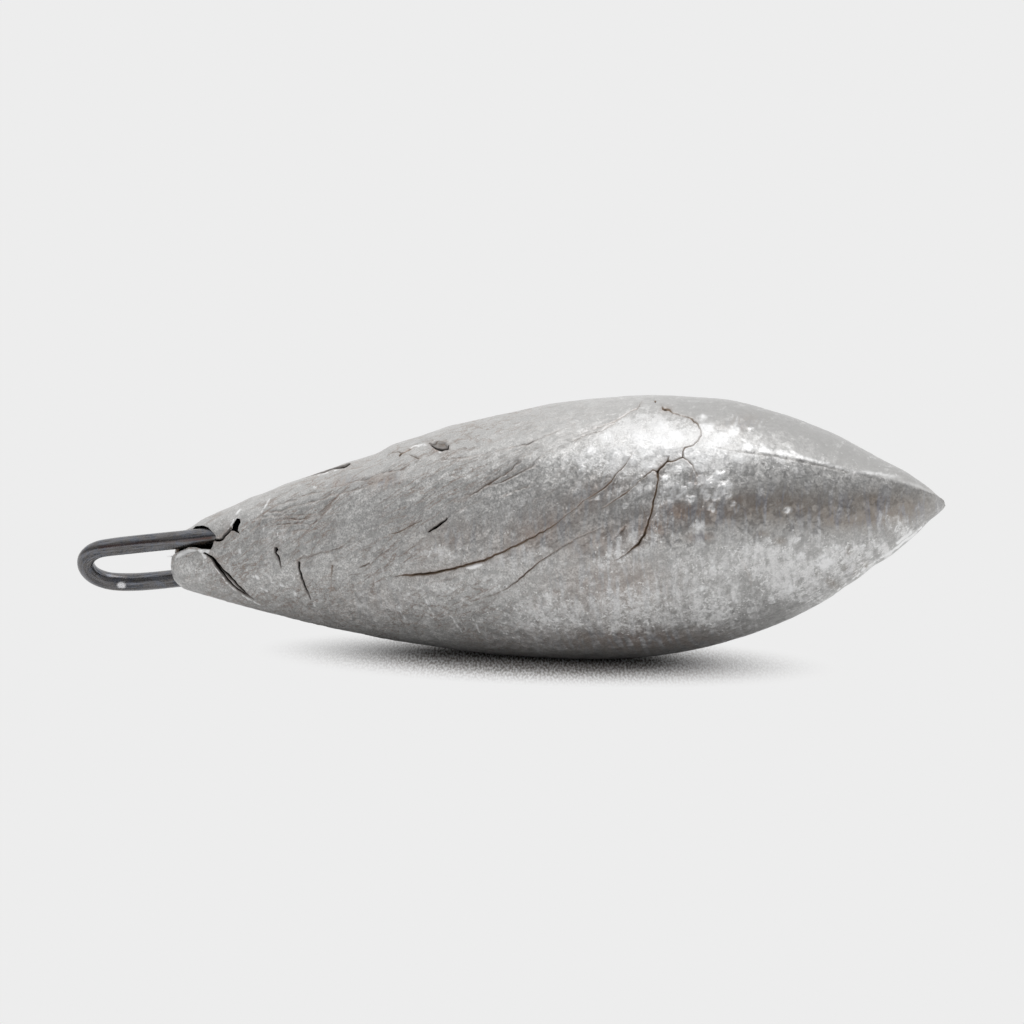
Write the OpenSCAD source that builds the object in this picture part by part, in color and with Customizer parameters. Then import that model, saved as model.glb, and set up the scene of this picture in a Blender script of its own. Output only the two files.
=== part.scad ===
// Cast lead fishing sinker: a pointed spindle from a two-part mould, with a bent wire eye in its slim end.
// It lies on a table with its nose towards +X and its seam rolled up on the -Y side.

/* [Lead body] */
// Thickness across the seam at the widest station
body_thickness = 26.6; // [22:0.1:32]
// Widest station to the pointed end
nose_length = 34.8; // [28:0.1:44]
// Widest station to the eye end
tail_length = 47.6; // [42:0.1:56]
// Thickness that the tail has where its end starts to round off
tail_thickness = 5; // [4.8:0.1:7]
// Length over which the eye end is rounded off
end_round = 1.8; // [1:0.1:3]
// Diameter of the blunt face left at the eye end
end_face_d = 2.6; // [2:0.1:4]
// How far each mould half's centre line has drifted past the seam at the nose
seam_offset = 1.3; // [0.8:0.05:2]
// Thickness left at the very tip
tip_thickness = 0.15; // [0.1:0.05:0.8]
// Exponent of the nose's curve: a higher one gives a fuller nose
nose_curve_exponent = 2.25; // [2:0.05:2.6]
// Exponent of the tail's curve: a higher one gives a fuller tail
tail_curve_exponent = 1.64; // [1.4:0.02:1.9]

/* [Wire eye] */
// Diameter of the wire
wire_d = 1.9; // [1.5:0.05:2.2]
// How much the wire's radius has thinned round its bends
bend_thinning = 0.04; // [0.02:0.01:0.1]
// Distance between the legs' centre lines at the bend
eye_spacing = 5.5; // [4.8:0.1:6.4]
// Lead's eye end to the outside of the bend
eye_reach = 10.2; // [8:0.1:14]
// Sideways offset of the eye from the body's centre line
eye_offset = 0.1; // [0:0.05:0.6]
// Angle at which the upper leg spreads towards the lead
upper_spread = 3.5; // [0:0.5:5]
// Angle at which the lower leg spreads towards the lead
lower_spread = 2; // [0:0.5:5]
// Length of each straight leg inside the lead
leg_depth = 13; // [10:0.5:16]
// Radius of the anchoring hook at each hidden end, along the wire's centre line
hook_radius = 2.4; // [2:0.1:3]
// Angle through which each hidden end turns outwards
hook_turn = 62; // [40:1:75]
// Gap between the wire and the lead that froze round it
wire_gap = 0.03; // [0.02:0.01:0.06]

/* [Broken mouth] */
// Diameter of the hollow that has broken open round the upper leg
mouth_d = 2.8; // [2.5:0.1:3.2]
// How far the hollow follows the upper leg into the lead
mouth_depth = 4.4; // [3:0.1:6]
// How far the hollow lies off the leg, towards the body's centre line
mouth_drop = 0.3; // [0.1:0.05:0.4]

/* [Lying pose] */
// Angle of the nose above the table
nose_lift = 6.4; // [4:0.1:9]
// Roll of the seam above the horizontal
seam_roll = 42; // [0:1:60]
// Further roll of the eye's plane, past the seam
eye_roll = 7.5; // [0:0.5:15]
// Depth of the small flat that the soft lead has worn where it lies
rest_flat = 0.2; // [0.1:0.02:0.4]

/* [Hidden] */
$fn = 64;
// Number of steps along the nose, along the tail and round the eye end
nose_steps = 24;
tail_steps = 24;
round_steps = 6;
widest_r = body_thickness / 2;
tail_r = tail_thickness / 2;
end_face_r = end_face_d / 2;
tip_r = tip_thickness / 2;
wire_r = wire_d / 2;
bore_r = wire_r + wire_gap;
mouth_r = mouth_d / 2;
cast_length = tail_length + nose_length;
// The mould halves' centre lines part from the seam at the eye end by this angle
lean = atan(seam_offset / cast_length);
// A block larger than the part, for cuts along a plane
block = 2 * cast_length;
lead_colour = [0.62, 0.61, 0.59];
wire_colour = [0.33, 0.32, 0.31];

// Half thickness across the seam at a station x, which runs from -tail_length to nose_length
function nose_half(x) = widest_r - (widest_r - tip_r) * pow(x / nose_length, nose_curve_exponent);
function tail_half(x) = widest_r - (widest_r - tail_r) * pow(-x / tail_length, tail_curve_exponent);
// How far into the rounded end a station lies, from 0 to 1
function end_share(x) = min(1, max(0, (end_round - tail_length - x) / end_round));
function end_loss(x) = (tail_r - end_face_r) * (1 - sqrt(1 - pow(end_share(x), 2)));
function half_thickness(x) = x > 0 ? nose_half(x) : tail_half(x) - end_loss(x);
// How far a mould half's centre line lies past the seam at a station
function seam_rise(x) = seam_offset * (x + tail_length) / cast_length;
// Stations from the eye end to the tip, closer together round the eye end
end_stations = [for (i = [0:round_steps - 1]) end_round * (1 - cos(90 * i / round_steps)) - tail_length];
tail_stations = [for (i = [0:tail_steps - 1]) (end_round - tail_length) * (1 - i / tail_steps)];
nose_stations = [for (i = [0:nose_steps]) nose_length * i / nose_steps];
stations = concat(end_stations, tail_stations, nose_stations);
// Outline of a mould half as radius and distance from the eye end, along its own centre line
half_outline = [for (x = stations) [half_thickness(x) + seam_rise(x), x + tail_length]];

// Directions and places of the casting's own frame, once it lies on the table
function turned(p, angle) = [p[0] * cos(angle) - p[1] * sin(angle), p[0] * sin(angle) + p[1] * cos(angle)];
function rolled(v) = let (p = turned([v.y, v.z], -seam_roll)) [v.x, p[0], p[1]];
function lifted(v) = let (p = turned([v.x, v.z], nose_lift)) [p[0], v.y, p[1]];
lower_axis = lifted(rolled([cos(lean), 0, sin(lean)]));
eye_end = lifted([-tail_length, 0, 0]);
// A ring of the lower mould half hangs down by this share of its radius, and the lowest one meets the table
ring_drop = norm([lower_axis.x, lower_axis.y]);
lowest = eye_end.z + min([for (p = half_outline) lower_axis.z * p[1] - ring_drop * p[0]]);
// The table cuts the flat from the lowest place
table_lift = -lowest - rest_flat;

// The eye's bend has its centre on u, along the body's centre line
bend_r = eye_spacing / 2;
crown_r = wire_r - bend_thinning;
bend_u = crown_r + bend_r - tail_length - eye_reach;
// How far a straight rod laps into a bend
rod_lap = 2 * bend_thinning;
// Length of a leg outside the lead, then from its bend to its hook
open_leg = eye_reach - crown_r - bend_r;
leg_length = open_leg + leg_depth;

// The origin lies midway between the part's two ends along X, and the eye's plane leans as the nose lifts
plane_lean = sin(seam_roll + eye_roll) * sin(nose_lift);
bend_drop = bend_r * norm([cos(nose_lift), plane_lean]);
bend_low_x = bend_u * cos(nose_lift) - eye_offset * plane_lean - bend_drop - crown_r;
tip_high_x = nose_length * cos(nose_lift) + tip_r * cos(seam_roll) * sin(nose_lift);
centre_shift = -(bend_low_x + tip_high_x) / 2;

// Lays the casting's own frame down on the table
module lie_down() {
    translate([centre_shift, 0, table_lift])
        rotate([-seam_roll, -nose_lift, 0])
            children();
}

// One mould half: the outline turned about its own leaning centre line and cut off at the seam
module mould_half() {
    difference() {
        translate([-tail_length, 0, 0])
            rotate([0, 90 + lean, 0])
                rotate_extrude()
                    polygon(concat([[0, 0]], half_outline, [[0, cast_length]]));
        translate([-block / 2, -block / 2, -block])
            cube(block);
    }
}

module casting() {
    mould_half();
    rotate([180, 0, 0])
        mould_half();
}

// Round rod along u, which laps into what it joins at both ends
module straight_rod(r, length, lap) {
    translate([-lap, 0, 0])
        rotate([0, 90, 0])
            cylinder(r = r, h = length + 2 * lap);
}

// Round rod turned about the origin from one angle to another
module bent_rod(r, turn_r, from, to) {
    rotate([0, 0, from])
        rotate_extrude(angle = to - from)
            translate([turn_r, 0])
                circle(r = r);
}

// Puts a leg or its hollow where it leaves the bend: side is -1 for the upper leg and 1 for the lower
module at_leg(side, spread) {
    rotate([0, 0, side * spread])
        translate([0, side * bend_r, 0])
            children();
}

// A leg with the hook at its hidden end turned outwards
module leg(rod_r, turn_r, lap, side) {
    straight_rod(rod_r, leg_length, lap);
    translate([leg_length, side * hook_radius, 0])
        if (side < 0)
            bent_rod(turn_r, hook_radius, 90 - hook_turn, 90);
        else
            bent_rod(turn_r, hook_radius, -90, hook_turn - 90);
}

// Turns the eye's plane into the casting's frame, where the upper leg lies on the -Y side
module eye_plane() {
    rotate([-eye_roll, 0, 0])
        translate([bend_u, -eye_offset, 0])
            children();
}

// The whole course of the wire, with a radius along its legs and one round its bends
module wire_course(rod_r, turn_r, lap) {
    eye_plane() {
        bent_rod(turn_r, bend_r, 90 + lower_spread, 270 - upper_spread);
        at_leg(-1, upper_spread)
            leg(rod_r, turn_r, lap, -1);
        at_leg(1, lower_spread)
            leg(rod_r, turn_r, lap, 1);
    }
}

// Hollow along the upper leg, from outside the lead to a round end
module mouth() {
    mouth_end = open_leg + mouth_depth - mouth_r;
    eye_plane()
        at_leg(-1, upper_spread)
            translate([0, mouth_drop, 0]) {
                straight_rod(mouth_r, mouth_end, 0);
                translate([mouth_end, 0, 0])
                    sphere(mouth_r);
            }
}

// Everything below the table's surface
module below_table() {
    translate([-block / 2, -block / 2, -block])
        cube(block);
}

module lead_body() {
    color(lead_colour)
        difference() {
            lie_down()
                casting();
            lie_down()
                wire_course(bore_r, bore_r, 0);
            lie_down()
                mouth();
            below_table();
        }
}

module wire_eye() {
    color(wire_colour)
        lie_down()
            wire_course(wire_r, crown_r, rod_lap);
}

lead_body();
wire_eye();
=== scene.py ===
"""Dresses the cast lead sinker: the cracked, frosted casting, its drawn wire eye and a plain studio."""

import math

import bmesh
import bpy
import numpy as np
from mathutils import Matrix, Vector, noise
from mathutils.bvhtree import BVHTree


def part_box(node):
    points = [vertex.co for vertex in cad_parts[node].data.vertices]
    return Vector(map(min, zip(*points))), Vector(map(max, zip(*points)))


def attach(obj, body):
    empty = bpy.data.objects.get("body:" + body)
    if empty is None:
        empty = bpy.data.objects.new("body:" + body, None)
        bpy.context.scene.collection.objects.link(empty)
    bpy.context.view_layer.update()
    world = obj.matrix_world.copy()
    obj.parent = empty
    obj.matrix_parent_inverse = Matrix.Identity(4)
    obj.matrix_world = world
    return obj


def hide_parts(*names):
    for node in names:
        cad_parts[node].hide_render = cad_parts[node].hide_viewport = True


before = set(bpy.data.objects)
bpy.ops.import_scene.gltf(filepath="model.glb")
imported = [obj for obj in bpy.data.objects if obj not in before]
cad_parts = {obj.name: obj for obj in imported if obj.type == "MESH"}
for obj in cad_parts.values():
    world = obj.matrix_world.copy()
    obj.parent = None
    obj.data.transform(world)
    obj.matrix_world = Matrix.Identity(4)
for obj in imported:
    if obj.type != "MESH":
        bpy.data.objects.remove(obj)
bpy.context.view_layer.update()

bl_info = {
    "name": "Cast Lead Sinker",
    "version": (1, 0, 0),
    "blender": (4, 5, 0),
    "location": "3D View > Sidebar > Sinker",
    "description": "Builds a cast lead fishing sinker with its wire eye in a plain studio",
    "category": "Object",
}

MM = 0.001
PHOTO_SIDE = 1024
PHOTO_MIDDLE = PHOTO_SIDE / 2

# Cracks in the casting, as the photo's pixels with the crack's width there in pixels
CRACKS = {
    "eye_upper": [
        (213, 539.4, 3), (218.9, 540.4, 2.8), (222.2, 538.8, 2.6), (226.3, 534, 2.6), (231, 529.5, 3.4),
    ],
    "split_high": [
        (204.6, 553.2, 1.4), (208.6, 555.4, 2.4), (212, 558, 3), (216.6, 563, 2.8), (221.4, 568.6, 2),
        (230.6, 577.8, 1.5), (239.7, 587, 1.5), (245, 592.4, 1.2), (249.4, 596.4, 0.6), (254, 599.8, 0.2),
    ],
    "split_low": [
        (210.6, 557.4, 1.6), (214.6, 562.4, 2), (219.6, 569.4, 2.2), (223.8, 574.6, 2), (232.6, 584.4, 1.6),
        (240.8, 591, 1), (247.6, 595.8, 0.5),
    ],
    "eye_short": [
        (276, 549, 2.2), (276.4, 553, 1), (278.4, 556.4, 1.5), (280, 561.4, 0.8), (281, 568, 0.2),
    ],
    "tail_short": [
        (298.8, 563, 2.4), (299.3, 570, 1.2), (302, 577.7, 2.2), (304.8, 586.4, 1.2), (307.5, 591.8, 0.6),
        (310.7, 599.4, 0.3),
    ],
    "tail_hair": [(332.4, 565.8, 1.2), (331.9, 571, 0.9), (330.3, 581, 0.3), (332.4, 591.8, 0.3)],
    "top_edge": [
        (306.4, 477.4, 0.3), (326, 470.4, 0.7), (334.6, 467, 1.4), (343.3, 465.5, 2.8), (348.7, 462.8, 1.4),
    ],
    "shoulder_left": [
        (390, 453.3, 0.4), (399.7, 452.7, 0.8), (402, 454, 1.2), (409.4, 450.3, 1), (414, 447.6, 0.4),
    ],
    "shoulder_low": [(409.4, 455, 0.5), (417.9, 458.2, 0.8), (421, 457.6, 0.4)],
    "middle_dark": [
        (428, 531.6, 0.6), (430, 531, 1.4), (436, 527.3, 1.8), (442, 523, 1.5), (447, 518, 0.9),
    ],
    "middle_left": [
        (392, 533.3, 0.7), (399.7, 532.2, 1.1), (407.3, 526.8, 0.9), (415.5, 523.6, 0.8), (421.5, 520, 0.8),
    ],
    "high_dark": [(526, 444.6, 0.6), (530, 443, 1.3), (534, 441.4, 0.9)],
    "low_brown": [(359.5, 567.4, 0.5), (365, 565.8, 0.9), (369.3, 562.6, 0.6)],
    "main": [
        (394, 576.6, 0.2), (404, 575.8, 1.2), (416, 574.8, 2.6), (433, 573, 2.8), (453, 569, 2.4),
        (485, 560, 2), (519, 544, 1.8), (538, 534.6, 1.4), (553, 526, 1.1), (570, 512.4, 0.6),
        (579, 504.8, 0.7), (589.3, 497, 0.9), (598.3, 492, 1.2), (611, 481.8, 1.4), (616, 474, 1.1),
        (626.3, 464, 0.8), (631.4, 455, 0.4),
    ],
    "second": [
        (474, 600.4, 0.2), (489.5, 596.5, 0.4), (505, 589.6, 0.6), (515, 583, 0.9), (525, 574.4, 1.4),
        (536, 564.6, 1), (545, 558, 0.8), (562.6, 547, 0.5), (570, 542.4, 0.5), (578, 538, 0.5),
        (588, 533.4, 0.4), (600, 528.4, 0.2),
    ],
    "big": [
        (657.6, 471.6, 2.4), (658, 479.3, 1.5), (656.3, 490, 1.4), (653.1, 502.2, 1.8), (650.6, 513.7, 1.8),
        (648.2, 523, 1.4), (644.2, 535.6, 2.6), (638.4, 543.6, 3), (633, 548.4, 1.6), (628, 552.4, 0.9),
        (620, 558, 0.5), (611, 562, 0.2),
    ],
    "upper_arc": [
        (657.6, 471.6, 2.6), (662, 466.5, 2.4), (667, 461.4, 1.9), (671, 462, 1.3), (677.3, 459.5, 1.1),
        (682.4, 457, 1.3), (683, 452.5, 1), (684.4, 448, 1.2), (692.6, 444.8, 0.8), (697.7, 441, 0.8),
        (701, 436, 0.5), (700.3, 429.5, 0.6), (697, 423.8, 0.9), (692.6, 420, 1.3), (687.5, 417.4, 0.6),
        (681, 415.5, 0.4), (672.2, 413, 0.8), (669.7, 410.4, 1.8), (663.3, 409, 2.4), (662, 406.6, 0.8),
    ],
    "upper_spur": [(667, 461.4, 1.6), (669, 456.3, 0.4)],
    "right_branch": [
        (682.4, 457, 1.2), (687.5, 460.8, 0.8), (692.6, 465.3, 0.9), (695.2, 471.6, 0.6), (697, 476.7, 0.3),
    ],
    "left_branch": [
        (657.6, 471.6, 1.6), (653, 470, 1), (648, 472.9, 1), (641.6, 479.3, 0.5), (634, 485.7, 0.5),
        (623.8, 494.6, 1.1), (613.6, 501, 0.8), (602, 508.6, 0.3),
    ],
    "upper_hair": [
        (641.6, 402.8, 0.2), (636.5, 409, 0.5), (631.4, 411, 0.3), (621.2, 417.4, 0.4), (616, 421.3, 0.4),
        (607, 425.7, 0.2), (594.4, 428.3, 0.1),
    ],
    "lower_hair": [(616, 423, 0.2), (602, 430.8, 0.2), (585.5, 435.3, 0.1), (574, 441, 0.1)],
    "red_hair": [(641.6, 506, 0.4), (644.2, 513.7, 0.7), (646, 519, 0.3)],
    "middle_first": [
        (470, 495.5, 0.3), (478, 491, 0.7), (486, 485, 1), (493, 480, 0.9), (500, 476, 0.7), (508, 472, 1),
        (513, 466, 0.8), (518, 461.5, 0.3),
    ],
    "middle_second": [(500, 483, 0.2), (511, 477.6, 0.6), (521, 472.7, 0.5), (531, 467.4, 0.2)],
    "middle_hook": [(446.6, 519, 0.9), (441, 524, 2), (434, 528.6, 1.6)],
    "shoulder_under": [
        (431.2, 445.5, 1.4), (436, 448, 2.8), (442, 449.6, 3.6), (447, 448.6, 3.2), (448.4, 446, 1),
    ],
    "shoulder_top": [(428.8, 444.2, 1.4), (433, 443.4, 1.2), (438.5, 441.8, 0.6), (447, 440.6, 0.6)],
}

# Cracks so deep that they look black, which the finish paints black as shade
DEEP_CRACKS = (
    "eye_upper", "split_high", "split_low", "eye_short", "tail_short", "middle_dark", "shoulder_under",
    "top_edge",
)

# Cold folds where the lead flowed over itself, as the photo's pixels with the step's strength there
FOLDS = {
    "high_first": [(439.7, 460.6, 0.8), (450.6, 458.8, 0.9), (465, 457.6, 0.6), (490.6, 453.3, 0.3)],
    "high_second": [(455.5, 453.3, 0.3), (467.6, 449.7, 0.5), (478.5, 447.3, 0.3)],
    "high_third": [
        (496, 451, 0.3), (501.5, 449.7, 0.6), (512.4, 446.7, 0.5), (527, 444.2, 0.8), (533, 441.8, 0.8),
        (545, 436, 0.4), (560, 431, 0.2),
    ],
    "middle_first": [
        (464, 497, 0.4), (472.4, 494.5, 0.7), (481, 488.5, 0.9), (490.6, 483.6, 1), (495.5, 478.8, 1),
        (504, 474, 0.9), (511.2, 469, 0.8), (514.8, 465.5, 0.9), (519.7, 462.4, 0.5),
    ],
    "middle_second": [
        (489.4, 486, 0.4), (501.5, 482.4, 0.7), (511.2, 477.6, 0.8), (521, 472.7, 0.7), (529.4, 467.9, 0.6),
        (535.5, 465.5, 0.3),
    ],
    "middle_third": [(502, 497, 0.2), (510, 493.3, 0.6), (518.5, 489.7, 0.6), (529.4, 486, 0.3)],
    "middle_fourth": [(455, 512, 0.2), (468, 506, 0.5), (478, 502, 0.4), (490, 494, 0.2)],
    "brown": [
        (361.7, 480, 0.5), (368.2, 478.5, 1), (375.8, 474.7, 1), (384.5, 472, 0.8), (394.3, 471, 0.9),
        (404, 469, 0.5),
    ],
    "brown_top": [(349.8, 467.7, 0.7), (357.4, 466, 0.6), (366, 463, 0.2)],
    "tail_first": [
        (317.2, 488.8, 0.3), (332.4, 487.7, 0.5), (343.3, 484, 0.7), (357.4, 480.7, 0.7), (368, 479, 0.6),
    ],
    "tail_second": [
        (337.9, 494.2, 0.7), (345.4, 492, 0.7), (356.3, 489.3, 0.7), (365, 486.6, 0.6), (374.7, 483.4, 0.3),
    ],
    "tail_third": [
        (270.6, 512.7, 0.8), (282.5, 510.5, 0.9), (289, 507.2, 0.8), (298.8, 505, 0.6), (310.7, 502.9, 0.6),
        (326, 497.5, 0.6), (336.8, 492, 0.4),
    ],
    "tail_fourth": [
        (310.7, 520.3, 0.4), (319.4, 513.8, 0.9), (327, 507.2, 1), (334.6, 499.7, 0.9), (339, 495.3, 0.5),
    ],
    "tail_fifth": [(285.8, 516, 0.4), (298.8, 514.8, 0.7), (315, 513.8, 0.6)],
    "tail_sixth": [
        (296, 560, 0.3), (307.5, 557, 0.5), (320.5, 552.8, 0.6), (336.8, 549.5, 0.6), (345.4, 544, 0.6),
        (353, 537.6, 0.3),
    ],
    "tail_seventh": [(375.8, 559.3, 0.4), (380, 555, 0.7), (384.5, 551.7, 0.6), (396, 548, 0.3)],
    "crease_first": [(272, 506.5, 0.3), (284, 503, 0.8), (297, 500, 0.5)],
    "crease_second": [(276, 520, 0.4), (288, 519, 0.8), (304, 519.5, 0.7), (316, 517, 0.4)],
    "crease_third": [(268, 527, 0.3), (282, 524.6, 0.7), (296, 523.6, 0.7), (308, 524, 0.3)],
    "crease_fourth": [(300, 497, 0.4), (312, 494, 0.7), (325, 491, 0.5)],
    "crease_fifth": [(306, 528, 0.3), (316, 522, 0.7), (324, 514, 0.7), (331, 507, 0.5)],
    "crease_sixth": [(254, 520, 0.3), (266, 517.5, 0.7), (278, 516, 0.6), (290, 511, 0.4)],
    "crease_seventh": [(290, 532, 0.2), (302, 530, 0.6), (314, 531, 0.3)],
    "eye_side": [(251, 531.5, 0.5), (258, 525, 0.8), (262, 519, 0.6), (265, 511, 0.3)],
    "reddish": [(623.8, 527.8, 0.8), (620, 532.9, 0.9), (614.8, 538, 0.5)],
    "low_faint": [(371.5, 591.8, 0.4), (373.6, 580, 0.6), (376, 571, 0.3)],
    "lip_low": [(404, 552, 0.3), (414, 546, 0.5), (423, 539, 0.4)],
    "under_main": [(425, 583, 0.2), (440, 581, 0.4), (458, 576, 0.3)],
    "nose_faint": [(742, 560, 0.2), (748, 572, 0.4), (752, 586, 0.2)],
}

# Bright scratches and bruised edges, with a painted glint and painted rim reflections, as the photo's pixels
# with the scratch's width there in pixels
SCRATCHES = {
    "low_first": [(425, 597, 1.2), (429, 606, 1.6), (433, 615, 0.8)],
    "low_second": [(450, 615, 1), (456, 624, 1.4), (463, 633, 0.6)],
    "low_third": [(472, 618, 0.6), (476, 625, 1), (480, 632, 0.5)],
    "low_fourth": [(398, 604, 0.4), (401, 612, 0.9), (405, 619, 0.4)],
    "tail_first": [(237, 515.8, 1.8), (240, 512.4, 1.4), (243.7, 508.3, 0.9)],
    "tail_second": [(262, 511.6, 0.6), (267, 505, 1.6), (270.3, 500, 1)],
    "tail_third": [(268, 582, 0.6), (276, 582.5, 1.4), (282.7, 585.4, 1)],
    "tail_dash": [(240.3, 549.8, 3), (240.3, 553, 2.4)],
    "fleck_first": [(252.4, 576, 2.4), (253.6, 577, 3.4)],
    "fleck_second": [(256, 575.6, 2.6), (257.8, 578.2, 3.8)],
    "fleck_third": [(261.2, 588.7, 1.4), (264, 589.4, 2.2), (267, 590.8, 3)],
    "fleck_fourth": [(294, 592.4, 2), (296, 594.4, 3)],
    "fleck_ninth": [(314, 604.6, 2.6), (315, 606, 2)],
    "fleck_tenth": [(281, 585, 1.4), (283.4, 586, 1.8)],
    "fleck_last": [(264.4, 530, 2.4), (265.4, 531, 2)],
    "fleck_fifth": [(356.4, 532.4, 1.4), (359.4, 535.8, 1.4)],
    "fleck_sixth": [(335, 579.4, 1.4), (338.4, 576.8, 1)],
    "fleck_seventh": [(314.2, 487, 2), (315.4, 488, 1.6)],
    "fleck_eighth": [(326.6, 484.7, 1.6), (328, 484.3, 1.4)],
    "shoulder_edge": [(411, 448.6, 1), (416, 446.4, 2), (421, 445.6, 2.4), (427.6, 445, 2)],
    "shoulder_lip": [(436, 451.2, 1), (442, 453, 1.4), (449, 451.4, 1)],
    "top_edge": [(318, 475.6, 0.5), (330, 471, 0.8), (345, 468, 0.9)],
    "chip": [(198.6, 550.4, 3), (203, 551.6, 5), (208, 551.4, 4)],
    "chip_low": [(203.4, 554.4, 2.4), (206, 557.4, 3)],
    "lobe_top": [
        (173.6, 559.5, 2), (175, 557, 3), (178, 555, 4.4), (183.4, 552.8, 5), (189, 550.6, 4.2),
        (196, 550.4, 2.4),
    ],
    # Painted reflections along the lower rim of the nose
    "rim_reflection_right": [
        (838, 591.4, 1), (850, 582.4, 1.4), (866, 570, 1.8), (884, 556.6, 2.4), (900, 545.4, 3),
        (913, 535, 2.8), (926, 523, 1.6),
    ],
    "rim_reflection_patch": [(897, 543.5, 3), (904, 537.5, 4.4), (911, 532, 4)],
    "rim_reflection_low": [(727, 641.6, 1), (745, 637, 1.8), (766, 628.6, 1.4)],
    "lip_top": [(190.4, 527.6, 1.2), (193.4, 524.8, 1.8), (197.6, 522.9, 1.2)],
    # A painted glint inside the hole
    "hole_glint": [(237.2, 519.4, 1.2), (238.6, 521.2, 1.4)],
    "flake": [(467, 568.5, 2.5), (474, 567, 5), (481, 565, 4)],
    "crack_lip": [
        (212, 562.6, 1.4), (222, 576, 1.2), (231, 586.6, 1.2), (241, 594, 1.4), (250, 599, 1.8),
        (259.5, 605, 1),
    ],
    "hole_edge": [(228, 529.6, 0.5), (231.4, 526, 1.1), (234.6, 520.4, 0.9)],
    "big_lip": [(661, 486, 0.6), (659.4, 502, 0.9), (655.6, 516, 0.7)],
}

# Open pits, in the photo's pixels: middle, half length, half height, slope in degrees, depth and how far they
# are darkened
PITS = {
    "small": (400.6, 455.6, 1.8, 1.4, 15, 2, 1),
    "tail_spot": (276.4, 549.6, 1.5, 1.9, 0, 2, 1),
    "top_spot": (665, 409, 1.7, 1.1, -15, 2, 1),
    "upper_spot": (655.4, 402, 1.3, 1.2, 0, 2, 1),
    "shoulder": (439.6, 445.8, 9.4, 3.6, -6, 1.8, 0.3),
}

# Frost rosettes on the nose and the white spots there, as the photo's pixels: middle and radius
ROSETTES = [
    (717.5, 475, 5), (723, 489, 7.5), (707, 485, 5), (707, 497, 4), (710, 506, 4), (684, 490, 5),
    (671, 499, 4), (700, 479, 4), (712, 481, 5), (730, 484, 4), (716, 497, 5), (728, 496, 4), (703, 491, 4),
    (698, 485, 3), (676, 486, 4), (680, 497, 4), (688, 499, 3.6), (673, 491, 4.4), (690, 485, 3),
    (668, 486, 4), (665, 479, 4), (712, 509, 3), (733, 503, 3), (786.3, 510.2, 4.5), (789, 588, 7),
    (713, 567.3, 2.5), (702.3, 587.9, 3.5), (824, 562, 10), (751.4, 428.9, 3), (838, 548, 4), (800, 556, 5),
    (772, 600, 5), (735, 600, 4), (862, 546, 4), (722.5, 474.5, 4), (691, 499, 4), (663, 492, 4),
    (640, 492, 3), (625, 506, 3), (583, 469, 4), (597, 498, 3),
]

# White crust with the broad highlight painted over it, as the photo's pixels: middle and radius
CRUSTS_AND_HIGHLIGHT = [
    (607, 437, 6), (618, 454, 9), (631, 459, 8), (645, 452, 9), (640, 438, 9), (658, 441, 8), (668, 451, 8),
    (661, 427, 7), (676, 437, 8), (691, 453, 9), (703, 457, 8), (697, 465, 6), (680, 467, 6), (712, 446, 8),
    (706, 428, 7), (722, 438, 8), (733, 431, 6), (748, 447, 5), (765, 450, 5), (783, 454, 4), (702, 417, 4),
    (648, 466, 6), (590, 452, 5), (582, 462, 5), (722, 455, 6), (737, 459, 6), (612, 465, 5),
]

# Broken openings at the eye end, as the photo's pixels round them, with their depth in metres behind the skin
# or, at the mouth, behind the middle of the wire
OPENINGS = {
    "rim": ([
        (160, 520), (182, 524), (188.6, 529.8), (193, 528.8), (195.4, 526.2), (203, 525.4), (208, 527.2),
        (212.2, 531.4), (215.8, 535.6), (216.4, 540), (200, 541), (160, 541),
    ], 0.2 * MM, "wire"),
    "gap": ([
        (160, 540.6), (200, 540.6), (214.8, 539.6), (213.4, 543.2), (212.6, 546.4), (210.8, 549.4),
        (201.5, 549), (196.5, 547.4), (189, 547.2), (183.2, 549.9), (177.4, 552.2), (173.6, 554.6),
        (171.8, 556.6), (168, 557.5), (160, 557),
    ], 1.4 * MM, "wire"),
    "end": ([
        (155, 553.8), (172, 553.8), (172.3, 555), (171.3, 560), (170.8, 566), (171.6, 571), (165, 574),
        (155, 572),
    ], 6 * MM, "wire"),
    "hole": ([
        (232.6, 528.4), (232.8, 524.4), (235.3, 520.9), (236.8, 518.2), (240, 518.8), (240.6, 522.4),
        (238.6, 526.5), (238, 530.4), (239.8, 533.6), (237, 532.5), (234.4, 530.9), (231, 530.8),
    ], 2 * MM, "skin"),
}

# Crest of the seam with a painted highlight along it and a painted shade line below, as the photo's pixels
# with its strength there
CREST_HIGHLIGHTS = {
    "near": [
        (738, 442, 0.2), (752, 447, 0.6), (769, 450.6, 0.7), (785, 453.6, 1), (803, 457.8, 1),
        (820, 462, 0.8), (836, 466.6, 0.7), (852, 470.6, 0.4),
    ],
    "flare_first": [(741, 437, 0.3), (748, 443.6, 0.8), (757, 447.6, 0.7)],
    "flare_second": [(757, 441, 0.2), (764, 446.6, 0.7), (772, 450.4, 0.6)],
    "flare_third": [(787, 446, 0.3), (792, 451.6, 0.8), (799, 455.6, 0.6)],
    "far": [(850, 472.8, 0.5), (866, 472.4, 0.7), (880, 474.8, 0.8), (891, 477.3, 0.6), (900, 478.4, 0.2)],
    "tip": [(890, 480, 0.2), (905, 483.4, 0.4), (920, 488.4, 0.4), (932, 493, 0.2)],
}
CREST_SHADE = [
    (706, 445, 0.2), (722, 448.6, 0.8), (734, 450.4, 0.9), (751.4, 453, 1), (769.3, 455.2, 0.9),
    (787, 458.6, 0.9), (805, 462.4, 0.9), (821, 466, 0.8), (838, 470, 0.7), (856, 474.6, 0.5),
    (874, 479, 0.4), (892, 483.6, 0.2),
]

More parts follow.
